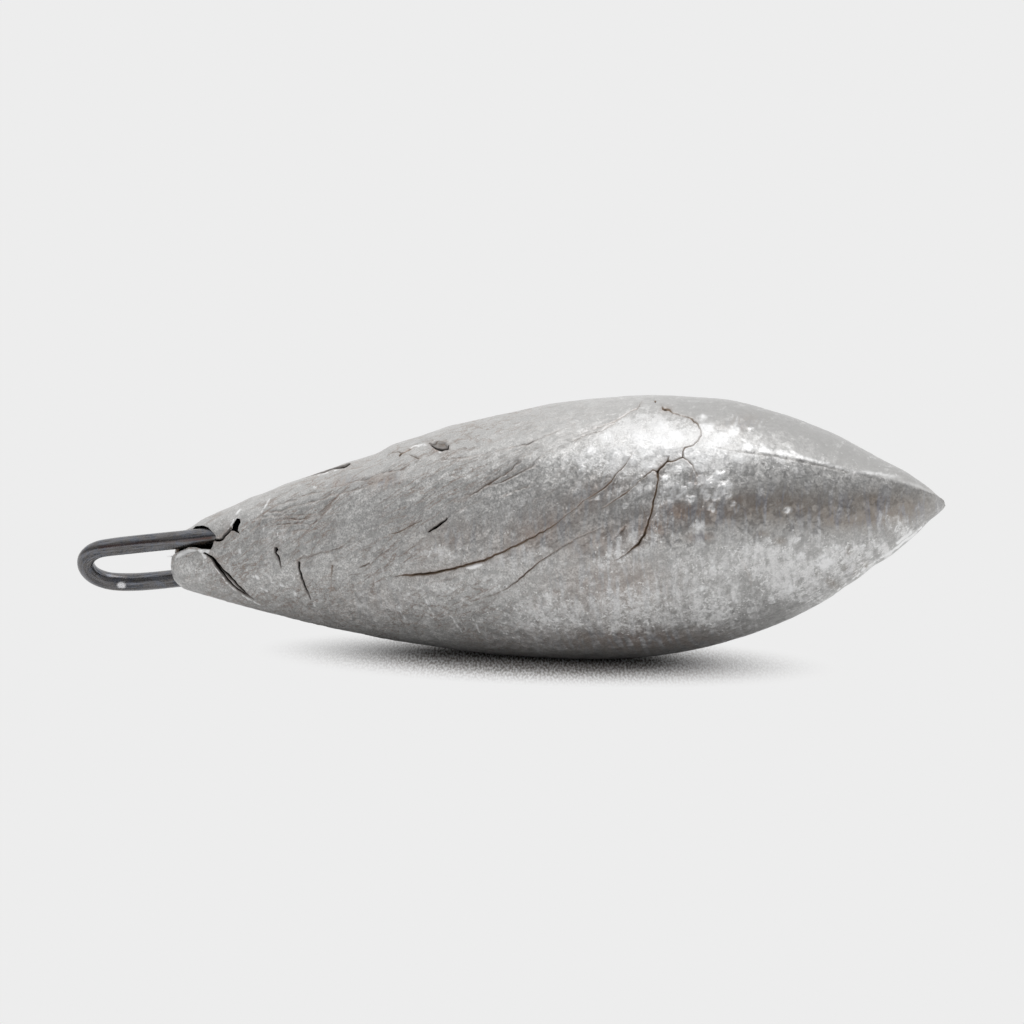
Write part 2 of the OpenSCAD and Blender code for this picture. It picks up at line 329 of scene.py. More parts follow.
# Lumps and hollows of the outline, in the photo's pixels: middle, reach along and across, and height
LUMPS = [
    (169, 564, 8, 18, -3.4), (440, 445, 6, 2.5, -1.2), (222, 516, 26, 14, 2.6), (252, 500, 18, 14, 1.8),
    (286, 487, 22, 14, 1.5), (336, 470, 20, 14, -0.8), (366, 462, 18, 14, -2.4), (400, 446, 14, 14, 1.2),
    (432, 434, 16, 14, 1.2), (476, 424, 34, 14, 0.9), (556, 406, 26, 12, 0.7), (596, 399, 30, 14, -0.5),
    (722, 401, 22, 14, 1.5), (752, 408, 34, 20, 1.3), (830, 434, 40, 14, 1.1), (906, 474, 26, 14, 2.1),
    (205, 524, 9, 8, 1.2), (452, 429, 12, 8, 1.6), (380, 454, 10, 8, -1.6), (744, 404, 20, 12, 0.6),
    (790, 417, 20, 12, 0.7), (928, 486, 14, 9, 1.4), (870, 570, 18, 10, -1.2), (846, 586, 18, 12, -1.5),
    (874, 566, 14, 12, -1.1), (926, 522, 12, 8, -1.2), (698.4, 524.6, 9, 4.5, 0.9), (722, 488, 7, 7, 0.6),
    (668, 497, 6, 7, 0.5), (684, 496, 6, 6, 0.5), (300, 540, 26, 12, 0.8), (345, 520, 22, 9, 0.8),
    (400, 500, 26, 10, 0.9), (455, 480, 24, 8, 0.8), (500, 500, 26, 9, 0.7), (430, 560, 26, 9, 0.6),
    (520, 560, 20, 8, 0.6),
]

# Frosted patches, as the photo's pixels: middle, half length, half height, slope in degrees and strength
FROST = [
    # The patches on the first two lines lie in the broad highlight: frost there, with a painted highlight
    (640, 436, 46, 22, 6, 1.5), (690, 444, 50, 21, -3, 1.5), (655, 459, 60, 14, 3, 1.5),
    (738, 456, 34, 9, -6, 1.1), (600, 456, 34, 17, 8, 1.1), (700, 461, 34, 12, -4, 1.6),
    (780, 462, 30, 8, -8, 0.6), (622, 468, 26, 14, 10, 1.1), (664, 480, 22, 10, 0, 0.9),
    (704, 480, 14, 8, 0, 0.9), (660, 500, 11, 9, 0, 0.7), (636, 538, 36, 9, 0, 0.8),
    (282, 536, 26, 10, 0, 0.55), (440, 552, 34, 10, -8, 0.75), (440, 588, 30, 9, 0, 0.5),
    (886, 552, 24, 8, -36, 1.1), (300, 572, 14, 10, 10, 0.4), (380, 572, 22, 10, 0, 0.35),
    (500, 588, 24, 12, 0, 0.6), (500, 556, 22, 10, 0, 0.5), (660, 515, 15, 24, 0, 0.45),
    (560, 462, 34, 20, 30, 0.45), (716, 486, 18, 16, 0, 0.5), (684, 494, 12, 12, 0, 0.5),
    (669, 480, 10, 12, 0, 0.7), (640, 486, 30, 13, 20, 0.5), (698.4, 524.6, 9, 4.5, 0, 0.9),
    (550, 616, 66, 30, 0, 0.74), (632, 606, 76, 38, 0, 0.76), (706, 570, 48, 22, 0, 0.68),
    (764, 552, 40, 12, -4, 1.05), (620, 626, 34, 10, 0, 0.85), (710, 604, 64, 34, 0, 0.76),
    (784, 572, 72, 32, -12, 0.92), (784, 590, 26, 14, -20, 1.05), (850, 560, 46, 18, -30, 0.86),
    (400, 604, 120, 28, 10, 0.36), (905, 532, 28, 12, -38, 0.85), (812, 594, 44, 16, -27, 0.8),
    (616, 558, 36, 20, 15, 0.66), (524, 556, 38, 20, 0, 0.52), (480, 585, 50, 22, 10, 0.3),
    (510, 520, 40, 22, 30, 0.25), (260, 578, 16, 8, 20, 0.35), (192, 570, 22, 20, 0, 0.42),
    (180, 563, 6, 14, -5, 0.66), (846, 560, 9, 5, -30, 1.5), (858, 550, 7, 4, -30, 1.5),
    (838, 573, 8, 5, -20, 1.4), (869, 556, 6, 4, -30, 1.4), (824, 563, 8, 6, 0, 1.4),
    (786, 556, 8, 6, 0, 1.2), (768, 541, 6, 5, 0, 1.2), (796, 540, 6, 6, 0, 1.2), (548, 598, 6, 5, 0, 1.3),
    (530, 613, 6, 5, 0, 1.2), (568, 606, 6, 4, 0, 1.2),
]

# Brown, blue and pink stains, as the photo's pixels: middle, half length, half height, slope and strength;
# along the dark band below the seam and the bottom edge they also paint shade
STAINS_AND_SHADE = [
    (650, 526, 46, 18, 10, 0.75), (600, 542, 44, 24, 10, 0.6), (384, 481, 18, 8, 10, 0.75),
    (742, 424, 22, 8, 14, 0.4), (688, 512, 26, 9, 0, 1.9), (697, 480, 8, 9, 0, 0.9),
    (738, 500, 14, 8, 0, 1.1), (664, 506, 7, 6, 0, 0.9), (652, 474, 8, 6, 30, 0.5),
    (706, 521, 30, 6, 8, 0.9), (710, 512, 46, 14, 0, 1.1), (780, 506, 76, 18, 2, 1.2),
    (864, 510, 60, 17, 4, 1.9), (700, 537, 16, 6, 0, 0.9), (344, 481, 18, 7, 10, 0.45),
    (540, 532, 54, 24, 20, 0.7), (450, 540, 44, 18, 20, 0.45), (590, 500, 44, 18, 30, 0.6),
    (612, 588, 64, 34, 0, 0.6), (380, 600, 60, 20, 5, 0.25), (640, 640, 120, 14, 0, 0.8),
    (650, 529, 26, 12, 0, 1.0), (852, 572, 9, 4, -35, 1.2), (832, 584, 10, 4, -32, 1.1),
    (848, 552, 5, 4, 0, 0.8), (866, 566, 6, 3, -38, 1.0), (812, 574, 7, 5, 0, 0.6),
    (780, 541, 8, 4, 0, 0.8), (762, 534, 9, 4, 0, 0.8), (540, 606, 9, 5, 20, 0.8), (556, 592, 8, 4, 0, 0.7),
]

# Reddish line between the wire's dark and pale side, and a white fleck on its lower leg, in pixels
WIRE_LINE = [(98.7, 547.2), (120, 545.4), (146.6, 542.8), (180, 540.2), (211.6, 538)]
WIRE_FLECK = (121.6, 585.4, 4.4, 3.2, -12)

# Centre line of the eye's wire outside the lead, as the photo's pixels, from the upper leg to the lower
EYE_LINE = [
    (197, 538), (178, 540), (160, 541.8), (135, 544.4), (112, 547), (100, 549), (91.8, 552.6), (87, 557.6),
    (85.7, 562.8), (87.4, 568.4), (92, 573.8), (99, 577.8), (108, 580.6), (118, 581.8), (130, 582),
    (142, 581.6), (160, 580.1), (180, 578),
]

# What the marks lay down at each vertex, from 0 to 1, for the finish to read
MARK_MASKS = ("crack", "deep", "fold", "scratch_and_highlight", "frost", "stain")

# Noises that fray the drawn marks: their size and how far they push, in the photo's pixels
RAGGED = {
    "line": (5.5, 0.9),
    "rosette": (3.4, 2.8),
    "crust": (4, 3),
    "pit": (4, 1.6),
    "wire_line": (9, 0.5),
    "fleck": (3, 0.8),
}

# How a rosette and a crust stand up: the noise that frays them, their reach along and across as shares of the
# radius, where their edge starts and ends, the hollow in their middle, their height in pixels, and the size
# and the tones of the gaps in their white
ROSETTE = {
    "ragged": "rosette", "shares": (1, 0.86), "edge": (0.5, 1.25), "hollow": 0.3, "lift": 0.9,
    "gaps": (1.7, 0.35),
}
CRUST = {
    "ragged": "crust", "shares": (1.15, 0.8), "edge": (0.45, 1.3), "hollow": 0, "lift": 0.35,
    "gaps": (2.2, 0.6, 0.95),
}

# Stations from the widest place, between which the skin's wrinkles end and the far side's frost begins
WRINKLED_TAIL = (-4 * MM, 14 * MM)
FROSTED_NOSE = (-14 * MM, 6 * MM)

# Noises that lay frost and stains on the far side
FAR_FROST = {"scale": 5 * MM, "seed": 2.3}
FAR_STAINS = {"scale": 8 * MM, "seed": 9.1}

# Unevenness of the cast skin: the turn of its noise about Y in degrees, the noise, and its height on the nose
# and on the tail
UNEVENNESS = {
    "dents": (0, {"scale": 7 * MM, "seed": 3.1, "octaves": 2}, 0.05 * MM, 0.05 * MM),
    "wrinkles": (34, {"scale": 0.75 * MM, "seed": 8.7, "stretch": (6, 1.6, 1)}, 0.006 * MM, 0.051 * MM),
    "crust": (0, {"scale": 0.55 * MM, "seed": 5.3}, 0.028 * MM, 0.01 * MM),
}

# Cuts at the eye end: how far in front of the skin a cutter starts, and the depths between which the cuts are
# painted dark as shade
CUTTER_FRONT = 8 * MM
SHADED_DEPTHS = (0.06 * MM, 0.34 * MM)

# The wire: the pixels between which its bend thins out, the points that lead into a hook, and its steps
BEND_PIXELS = (95, 125)
HOOK_LEAD_IN = (6 * MM, 3 * MM, 1.2 * MM, 0.5 * MM)
HOOK_STEPS = 8

# Places along X in metres between which each part of the lead's finish comes in
LEAD_STATIONS = {
    "tail": (0.018, -0.006),
    "tip": (0.018, 0.03),
    # Where the painted shade on the upward-facing nose comes in
    "worn": (0.012, 0.023),
    "olive": (0.019, 0.032),
}

# Drawn-out noises of the lead: turn about Y in degrees, stretch, scale and detail
LEAD_NOISES = {
    "flow": (34, (7, 1.6, 1), 1300, 5),
    "broad": (30, (3, 2, 1), 260, 2),
    "patch": (26, (2.2, 1.4, 1), 1700, 4),
    "turning": (0, (0.8, 5.5, 5.5), 1300, 5),
}

# Dark and bright grain of the lead and dark and bright streaks of the wire, against their plain colours
GRAIN_TONES = (0.64, 1.32)
STREAK_TONES = (0.6, 1.7)

# Tones laid over the lead in turn: the most of each that shows, and its brightness against plain lead
LEAD_TONES = {
    "broad": (0.25, 0.7),
    "patch": (0.65, 0.62),
    "tip": (0.4, 0.6),
    "calm": (0.6, 0.97),
    # Painted shade that darkens the upward-facing skin of the nose
    "worn": (0.4, 0.55),
    "raised": (0.5, 1.3),
    "sunk": (0.5, 0.55),
}

# The mottle group's values for each thing that it draws, and the scales of the lead's facets
FINE_GRAIN = {"blotch_scale": 800, "grain_scale": 5200, "cover": 0.3, "softness": 0.2}
LEAD_FLECKS = {"blotch_scale": 1900, "grain_scale": 6000, "cover": 0.14, "softness": 0.06}
FROST_DOTS = {"blotch_scale": 1700, "grain_scale": 5000, "softness": 0.07}
STAIN_BLOTCHES = {"blotch_scale": 420, "grain_scale": 2400, "cover": 0.3, "softness": 0.25}
WIRE_SPOTS = {"blotch_scale": 900, "grain_scale": 4400, "cover": 0.4, "softness": 0.14}
WIRE_STREAKS = (2.4, 3.4, 1)
FACET_SCALES = (1300, 3600)

# The floor: its paper, the darker grain that the camera sees on it near the object as a painted shadow, and
# the middle and reach of that painted and real shadow
FLOOR_PAPER = (0.93, 0.93, 0.93)
PAINTED_SHADOW_GRAIN = (0.375, 0.345, 0.325)
CONTACT_MIDDLE = (4.8 * MM, -2 * MM)
CONTACT_REACH = (34.5 * MM, 17.4 * MM)

# The room's light, in front of the object and behind it
ROOM_DIM = (0.17, 0.17, 0.175)
ROOM_LIGHT = (1.05, 1.05, 1.05)


class CastingSizes(bpy.types.PropertyGroup):
    """Sizes of the lead body, as the CAD model has them"""

    body_thickness: bpy.props.FloatProperty(
        name="Body thickness", description="Thickness across the seam at the widest station",
        default=26.6 * MM, unit="LENGTH",
    )
    nose_length: bpy.props.FloatProperty(
        name="Nose length", description="Widest station to the pointed end",
        default=34.8 * MM, unit="LENGTH",
    )
    tail_length: bpy.props.FloatProperty(
        name="Tail length", description="Widest station to the eye end", default=47.6 * MM, unit="LENGTH",
    )
    tail_thickness: bpy.props.FloatProperty(
        name="Tail thickness", description="Thickness of the tail where its end starts to round off",
        default=5 * MM, unit="LENGTH",
    )
    end_round: bpy.props.FloatProperty(
        name="End round", description="Length over which the eye end is rounded off",
        default=1.8 * MM, unit="LENGTH",
    )
    end_face: bpy.props.FloatProperty(
        name="End face", description="Diameter of the blunt face at the eye end",
        default=2.6 * MM, unit="LENGTH",
    )
    seam_offset: bpy.props.FloatProperty(
        name="Seam offset", description="How far each half's centre line lies past the seam at the nose",
        default=1.3 * MM, unit="LENGTH",
    )
    tip_thickness: bpy.props.FloatProperty(
        name="Tip thickness", description="Thickness left at the very tip",
        default=0.15 * MM, unit="LENGTH",
    )
    nose_curve: bpy.props.FloatProperty(
        name="Nose curve", description="Exponent of the nose's curve", default=2.25,
    )
    tail_curve: bpy.props.FloatProperty(
        name="Tail curve", description="Exponent of the tail's curve", default=1.64,
    )
    nose_lift: bpy.props.FloatProperty(
        name="Nose lift", description="Angle of the nose above the table",
        default=math.radians(6.4), subtype="ANGLE",
    )
    seam_roll: bpy.props.FloatProperty(
        name="Seam roll", description="Roll of the seam above the horizontal",
        default=math.radians(42), subtype="ANGLE",
    )
    coarse_edge: bpy.props.FloatProperty(
        name="Coarse edge", description="Longest edge of the mesh away from the photographed side",
        default=0.62 * MM, unit="LENGTH",
    )
    fine_edge: bpy.props.FloatProperty(
        name="Fine edge", description="Longest edge of the mesh on the photographed side",
        default=0.42 * MM, unit="LENGTH",
    )
    crack_edge: bpy.props.FloatProperty(
        name="Crack edge", description="Longest edge of the mesh within a crack or a pit",
        default=0.095 * MM, unit="LENGTH",
    )


class EyeSizes(bpy.types.PropertyGroup):
    """Sizes of the wire eye, as the CAD model has them"""

    wire: bpy.props.FloatProperty(
        name="Wire", description="Diameter of the wire", default=1.9 * MM, unit="LENGTH",
    )
    bend_thinning: bpy.props.FloatProperty(
        name="Bend thinning", description="How much the wire's radius has thinned round its bend",
        default=0.04 * MM, unit="LENGTH",
    )
    wire_gap: bpy.props.FloatProperty(
        name="Wire gap", description="Gap between the wire and the lead that froze round it",
        default=0.03 * MM, unit="LENGTH",
    )
    eye_roll: bpy.props.FloatProperty(
        name="Eye roll", description="Roll of the eye's plane past the seam",
        default=math.radians(7.5), subtype="ANGLE",
    )
    eye_offset: bpy.props.FloatProperty(
        name="Eye offset", description="Sideways offset of the eye from the body's centre line",
        default=0.1 * MM, unit="LENGTH",
    )
    leg_depth: bpy.props.FloatProperty(
        name="Leg depth", description="Length of each straight leg inside the lead",
        default=13 * MM, unit="LENGTH",
    )
    hook_radius: bpy.props.FloatProperty(
        name="Hook radius", description="Radius of the anchoring hook at each hidden end",
        default=2.4 * MM, unit="LENGTH",
    )
    hook_turn: bpy.props.FloatProperty(
        name="Hook turn", description="Angle through which each hidden end turns outwards",
        default=math.radians(62), subtype="ANGLE",
    )


class FinishColours(bpy.types.PropertyGroup):
    """Colours of the lead, of what lies on it and of the wire"""

    lead: bpy.props.FloatVectorProperty(
        name="Lead", description="Dull lead", default=(0.56, 0.554, 0.544), subtype="COLOR", size=3,
    )
    # Also the white of the painted highlights on the crest and the crusts, and of the painted rim reflections
    bright: bpy.props.FloatVectorProperty(
        name="Bright", description="Scratches and rosettes",
        default=(0.87, 0.87, 0.87), subtype="COLOR", size=3,
    )
    frost: bpy.props.FloatVectorProperty(
        name="Frost", description="Frosted crystals",
        default=(0.905, 0.902, 0.897), subtype="COLOR", size=3,
    )
    stain: bpy.props.FloatVectorProperty(
        name="Stain", description="Brown heat stain", default=(0.3, 0.226, 0.184), subtype="COLOR", size=3,
    )
    olive: bpy.props.FloatVectorProperty(
        name="Olive", description="Stain on the nose",
        default=(0.272, 0.236, 0.203), subtype="COLOR", size=3,
    )
    blue: bpy.props.FloatVectorProperty(
        name="Blue", description="Streaks in the stains",
        default=(0.244, 0.237, 0.256), subtype="COLOR", size=3,
    )
    # Dirt in the cracks, and at its darkest the painted shade in the deep cracks, the pits and the cut
    # openings
    crack: bpy.props.FloatVectorProperty(
        name="Crack", description="Dirt in the cracks",
        default=(0.03, 0.022, 0.016), subtype="COLOR", size=3,
    )
    crack_rim: bpy.props.FloatVectorProperty(
        name="Crack rim", description="Dirt beside the cracks",
        default=(0.262, 0.2, 0.15), subtype="COLOR", size=3,
    )
    # Also the grey of the painted shade line below the seam's crest
    deep_rim_and_crest_shade: bpy.props.FloatVectorProperty(
        name="Deep rim", description="Dirt beside the deep cracks",
        default=(0.21, 0.195, 0.185), subtype="COLOR", size=3,
    )
    steel: bpy.props.FloatVectorProperty(
        name="Steel", description="Dark drawn wire", default=(0.104, 0.11, 0.126), subtype="COLOR", size=3,
    )
    tarnish: bpy.props.FloatVectorProperty(
        name="Tarnish", description="Brown spots on the wire",
        default=(0.2, 0.165, 0.12), subtype="COLOR", size=3,
    )
    rust: bpy.props.FloatVectorProperty(
        name="Rust", description="Reddish line along the wire",
        default=(0.1, 0.05, 0.04), subtype="COLOR", size=3,
    )
    fleck: bpy.props.FloatVectorProperty(
        name="Fleck", description="White fleck on the wire",
        default=(0.85, 0.85, 0.86), subtype="COLOR", size=3,
    )


class StudioSizes(bpy.types.PropertyGroup):
    """Place of the camera and strength of the lights"""

    view_turn: bpy.props.FloatProperty(
        name="View turn", description="Angle of the camera to the right of the front",
        default=math.radians(14), subtype="ANGLE",
    )
    view_height: bpy.props.FloatProperty(
        name="View height", description="Angle of the camera above the table",
        default=math.radians(8.6), subtype="ANGLE",
    )
    view_distance: bpy.props.FloatProperty(
        name="View distance", description="Camera to the point that it looks at",
        default=438 * MM, unit="LENGTH",
    )
    view_target: bpy.props.FloatVectorProperty(
        name="View target", description="Point that the camera looks at",
        default=(1.743 * MM, -2.084 * MM, 15.135 * MM), subtype="XYZ", size=3,
    )
    lens: bpy.props.FloatProperty(name="Lens", description="Focal length in millimetres", default=150)
    floor_side: bpy.props.FloatProperty(
        name="Floor side", description="Side of the floor", default=12, unit="LENGTH",
    )
    softbox: bpy.props.FloatProperty(
        name="Softbox", description="Side of the overhead softbox", default=0.5, unit="LENGTH",
    )
    softbox_place: bpy.props.FloatVectorProperty(
        name="Softbox place", description="Middle of the overhead softbox",
        default=(0.02, -0.05, 0.9), subtype="XYZ", size=3,
    )
    softbox_tilt: bpy.props.FloatProperty(
        name="Softbox tilt", description="Tilt of the softbox towards the front",
        default=math.radians(3), subtype="ANGLE",
    )
    softbox_power: bpy.props.FloatProperty(
        name="Softbox power", description="Power of the overhead softbox", default=1.6, unit="POWER",
    )
    pale: bpy.props.FloatProperty(
        name="Pale", description="Tone of the floor and the background in the picture", default=0.847,
    )


def deselect_all():
    """Deselects every object and leaves edit mode"""
    if bpy.context.object and bpy.context.object.mode != "OBJECT":
        bpy.ops.object.mode_set(mode="OBJECT")
    bpy.ops.object.select_all(action="DESELECT")


def pick(piece):
    """Makes one object the only selected and active one"""
    deselect_all()
    piece.select_set(True)
    bpy.context.view_layer.objects.active = piece


def bake_place(piece):
    """Moves an object's place, turn and size into its mesh"""
    pick(piece)
    bpy.ops.object.transform_apply(location=True, rotation=True, scale=True)


def read_points(mesh):
    """The places of a mesh's vertices as an array"""
    places = np.empty(len(mesh.vertices) * 3)
    mesh.vertices.foreach_get("co", places)
    return places.reshape(-1, 3)


def read_normals(mesh):
    """The normals of a mesh's vertices as an array"""
    normals = np.empty(len(mesh.vertices) * 3)
    mesh.vertex_normals.foreach_get("vector", normals)
    return normals.reshape(-1, 3)


def write_points(mesh, places):
    """Moves a mesh's vertices to the given places"""
    mesh.vertices.foreach_set("co", np.asarray(places, dtype=np.float32).ravel())
    mesh.update()


def moved(places, matrix):
    """An array of points moved by a 4x4 matrix"""
    turn = np.array(matrix)
    return places @ turn[:3, :3].T + turn[:3, 3]


def smooth(low, high, value):
    """A smooth rise from 0 at low to 1 at high"""
    share = np.clip((value - low) / (high - low), 0, 1)
    return share * share * (3 - 2 * share)


def bell(distance, width):
    """A smooth bump: 1 at no distance, and about a third of that at the width"""
    return np.exp(-((distance / width) ** 2))


def half_outline(casting, along):
    """Radius of a mould half at a distance from the eye end along its own leaning centre line"""
    widest = casting.body_thickness / 2
    tail = casting.tail_thickness / 2
    tip = casting.tip_thickness / 2
    length = casting.tail_length + casting.nose_length
    station = np.clip(along, 0, length) - casting.tail_length
    nose_share = np.clip(station / casting.nose_length, 0, 1)
    tail_share = np.clip(-station / casting.tail_length, 0, 1)
    nose = widest - (widest - tip) * nose_share ** casting.nose_curve
    slim = widest - (widest - tail) * tail_share ** casting.tail_curve
    end_share = np.clip((casting.end_round - casting.tail_length - station) / casting.end_round, 0, 1)
    slim = slim - (tail - casting.end_face / 2) * (1 - np.sqrt(1 - end_share**2))
    rise = casting.seam_offset * (station + casting.tail_length) / length
    return np.where(station > 0, nose, slim) + rise


def skin_radius(casting, station, angle):
    """Distance of the casting's skin from its centre line at a station and an angle round it"""
    lean = math.atan(casting.seam_offset / (casting.tail_length + casting.nose_length))
    from_end = station + casting.tail_length
    low = np.zeros_like(station)
    high = np.full_like(station, casting.body_thickness)
    for _ in range(40):
        middle = (low + high) / 2
        across = middle * np.cos(angle)
        above = middle * np.abs(np.sin(angle))
        along = from_end * math.cos(lean) - above * math.sin(lean)
        off = np.hypot(across, above * math.cos(lean) + from_end * math.sin(lean))
        outside = off > half_outline(casting, along)
        high = np.where(outside, middle, high)
        low = np.where(outside, low, middle)
    return (low + high) / 2


def put_on_skin(casting, places):
    """Moves points straight out or in to the casting's skin, apart from those on its two end faces"""
    station = places[:, 0]
    angle = np.arctan2(places[:, 2], places[:, 1])
    radius = skin_radius(casting, station, angle)
    end_slack = 2e-6
    on_side = (station > end_slack - casting.tail_length) & (station < casting.nose_length - end_slack)
    placed = np.stack([station, radius * np.cos(angle), radius * np.sin(angle)], 1)
    return np.where(on_side[:, None], placed, places)


def casting_pose(casting):
    """The matrix that lays the casting's own frame on the table where the CAD model lies"""
    turn = Matrix.Rotation(-casting.nose_lift, 4, "Y") @ Matrix.Rotation(-casting.seam_roll, 4, "X")
    stations = np.linspace(-casting.tail_length, casting.nose_length, 400)
    angles = np.radians(np.arange(0, 360, 1.5))
    station, angle = (grid.ravel() for grid in np.meshgrid(stations, angles))
    radius = skin_radius(casting, station, angle)
    skin = moved(np.stack([station, radius * np.cos(angle), radius * np.sin(angle)], 1), turn)
    _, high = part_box("lead_body")
    return Matrix.Translation((high.x - skin[:, 0].max(), 0, high.z - skin[:, 2].max())) @ turn


class PhotoView:
    """Where points of the part lie in the photo, seen by the scene's camera"""

    def __init__(self):
        camera = bpy.context.scene.camera
        self.place = camera.matrix_world.copy()
        self.scale = camera.data.lens / camera.data.sensor_width * PHOTO_SIDE

    def pixels(self, places):
        """The photo's pixels of points in the part's frame"""
        seen = moved(places, self.place.inverted())
        return np.stack([
            PHOTO_MIDDLE - self.scale * seen[:, 0] / seen[:, 2],
            PHOTO_MIDDLE + self.scale * seen[:, 1] / seen[:, 2],
        ], 1)

    def facing(self, places, normals):
        """How squarely the skin faces the camera, from -1 to 1"""
        towards = np.array(self.place.translation) - places
        towards /= np.linalg.norm(towards, axis=1)[:, None]
        return np.einsum("ij,ij->i", normals, towards)

    def ray(self, pixel):
        """Start and direction of the line of sight through a pixel"""
        aim = Vector((pixel[0] - PHOTO_MIDDLE, PHOTO_MIDDLE - pixel[1], -self.scale))
        return self.place.translation.copy(), (self.place.to_3x3() @ aim).normalized()


def near_line(pixels, line):
    """Distance from each pixel to a line, the line's third value there, and the side that it lies on"""
    line = np.array(line, float)
    best = np.full(len(pixels), 1e9)
    value = np.zeros(len(pixels))
    side = np.zeros(len(pixels))
    for start, end in zip(line[:-1], line[1:]):
        course = end[:2] - start[:2]
        share = np.clip((pixels - start[:2]) @ course / (course @ course), 0, 1)
        off = pixels - start[:2] - share[:, None] * course
        distance = np.hypot(off[:, 0], off[:, 1])
        nearer = distance < best
        best = np.where(nearer, distance, best)
        value = np.where(nearer, start[2] + share * (end[2] - start[2]), value)
        side = np.where(nearer, np.sign(course[0] * off[:, 1] - course[1] * off[:, 0]), side)
    return best, value, side


def near_spot(pixels, x, y, half_length, half_height, slope):
    """Distance from a spot's middle, where 1 is its edge"""
    turn = math.radians(-slope)
    off = pixels - (x, y)
    along = off[:, 0] * math.cos(turn) + off[:, 1] * math.sin(turn)
    across = off[:, 1] * math.cos(turn) - off[:, 0] * math.sin(turn)
    return np.hypot(along / half_length, across / half_height)


def wavy(pixels, size, reach):
    """The pixels pushed about by a noise of that size, so that drawn marks get ragged edges"""
    push = np.array([noise.noise_vector(Vector((x / size, y / size, 0.5)))[:2] for x, y in pixels])
    return pixels + push.reshape(-1, 2) * reach


def gaps_in(pixels, size):
    """From 0 to 1 by a noise of that size, so that a drawn mark is broken up"""
    values = np.array([noise.noise(Vector((x / size, y / size, 7.5))) for x, y in pixels])
    return smooth(-0.3, 0.2, values)


def field(places, scale, seed, stretch=(1, 1, 1), octaves=3):
    """A noise from about -1 to 1 at each place, of that size in metres, drawn out by the stretch"""
    shrink = np.array(stretch) * scale
    return np.array([
        noise.fractal(Vector(place) + Vector((seed, seed, seed)), 0.7, 2.1, octaves)
        for place in places / shrink
    ])


class Marks:
    """The casting's skin as the photo shows it, and what the marks do to each of its vertices"""

    def __init__(self, view, places, normals):
        facing = view.facing(places, normals)
        self.pixels = view.pixels(places)
        self.seen = smooth(0.0, 0.1, facing)
        self.outer = smooth(-0.6, -0.3, facing)
        self.far = 1 - smooth(-0.35, 0.0, facing)
        self.lift = np.zeros(len(places))
        self.masks = {name: np.zeros(len(places)) for name in MARK_MASKS}

    def close(self, points, reach):
        """The seen vertices that may lie within reach of some pixels"""
        points = np.array([point[:2] for point in points], float)
        low, high = points.min(0) - reach, points.max(0) + reach
        inside = np.all((self.pixels > low) & (self.pixels < high), axis=1)
        return np.nonzero(inside & (self.seen > 0))[0]

    def near_lines(self, lines, reach):
        """Whether each vertex lies within reach of one of the lines"""
        near = np.zeros(len(self.pixels), bool)
        for line in lines:
            chosen = self.close(line, reach)
            near[chosen] |= near_line(self.pixels[chosen], line)[0] < reach
        return near

    def near_spots(self, spots, reach):
        """Whether each vertex lies within reach of one of the spots"""
        near = np.zeros(len(self.pixels), bool)
        for x, y, length, tall, slope in spots:
            chosen = self.close([(x, y)], reach + length + tall)
            near[chosen] |= near_spot(self.pixels[chosen], x, y, length + reach, tall + reach, slope) < 1
        return near

    def lines(self, lines, reach):
        """Each line's name with the vertices close to it, their distance, value and side"""
        for name, line in lines.items():
            chosen = self.close(line, reach)
            if len(chosen):
                yield (name, chosen, *near_line(wavy(self.pixels[chosen], *RAGGED["line"]), line))

    def broken(self, chosen, size, least=0.0, most=1.0):
        """A tone from least to most by a noise of that size, so that a drawn mark is broken up"""
        return least + (most - least) * gaps_in(self.pixels[chosen], size)

    def show(self, name, chosen, values):
        """Raises a mask of the finish to the values"""
        self.masks[name][chosen] = np.maximum(self.masks[name][chosen], values)


def press_cracks(marks):
    """Opens the cracks, with a raised lip on one side and dirt along them, painted black as shade in the deep
    ones
    """
    for name, chosen, distance, width, side in marks.lines(CRACKS, 15):
        seen, deep = marks.seen[chosen], name in DEEP_CRACKS
        core = 1 - smooth(width * 0.1, width * 0.42 + 0.5, distance)
        depth = core * (0.3 + (1.3 if deep else 0.7) * width)
        lip = 0.35 * bell(distance - width - 1, 2.2) * (side > 0)
        marks.lift[chosen] += (lip - depth) * seen
        if deep:
            shown = core**0.3 * smooth(0, 1, width) ** 0.5
            marks.show("deep", chosen, 1 - smooth(3, 7, distance))
        else:
            shown = core**0.7 * np.clip(0.14 + width * 0.28, 0, 0.86)
        marks.show("crack", chosen, shown * seen)
        halo = bell(distance, width + 2) * np.clip(width / 3, 0.2, 0.8)
        marks.show("fold", chosen, 0.5 * halo * seen)


def press_folds(marks):
    """Steps the skin along the cold folds, with a fine groove in each"""
    for _, chosen, distance, strength, side in marks.lines(FOLDS, 13):
        seen = marks.seen[chosen] * strength
        step, groove = 1.05 * bell(distance, 4.5) * side, 1.1 * bell(distance, 1.3)
        marks.lift[chosen] += (step - groove) * seen
        marks.show("fold", chosen, bell(distance, 1.05) * seen * marks.broken(chosen, 5, least=0.4))


def press_scratches(marks):
    """Raises and brightens the bruised edges and scratches, the fine ones in dashes, and paints the glint and
    the rim reflections
    """
    for _, chosen, distance, width, _ in marks.lines(SCRATCHES, 11):
        core = (1 - smooth(width * 0.2, width * 0.45 + 0.5, distance)) * marks.seen[chosen]
        core *= np.maximum(marks.broken(chosen, 2.6), smooth(1.8, 3, width))
        marks.lift[chosen] += 0.25 * core
        marks.show("scratch_and_highlight", chosen, core)


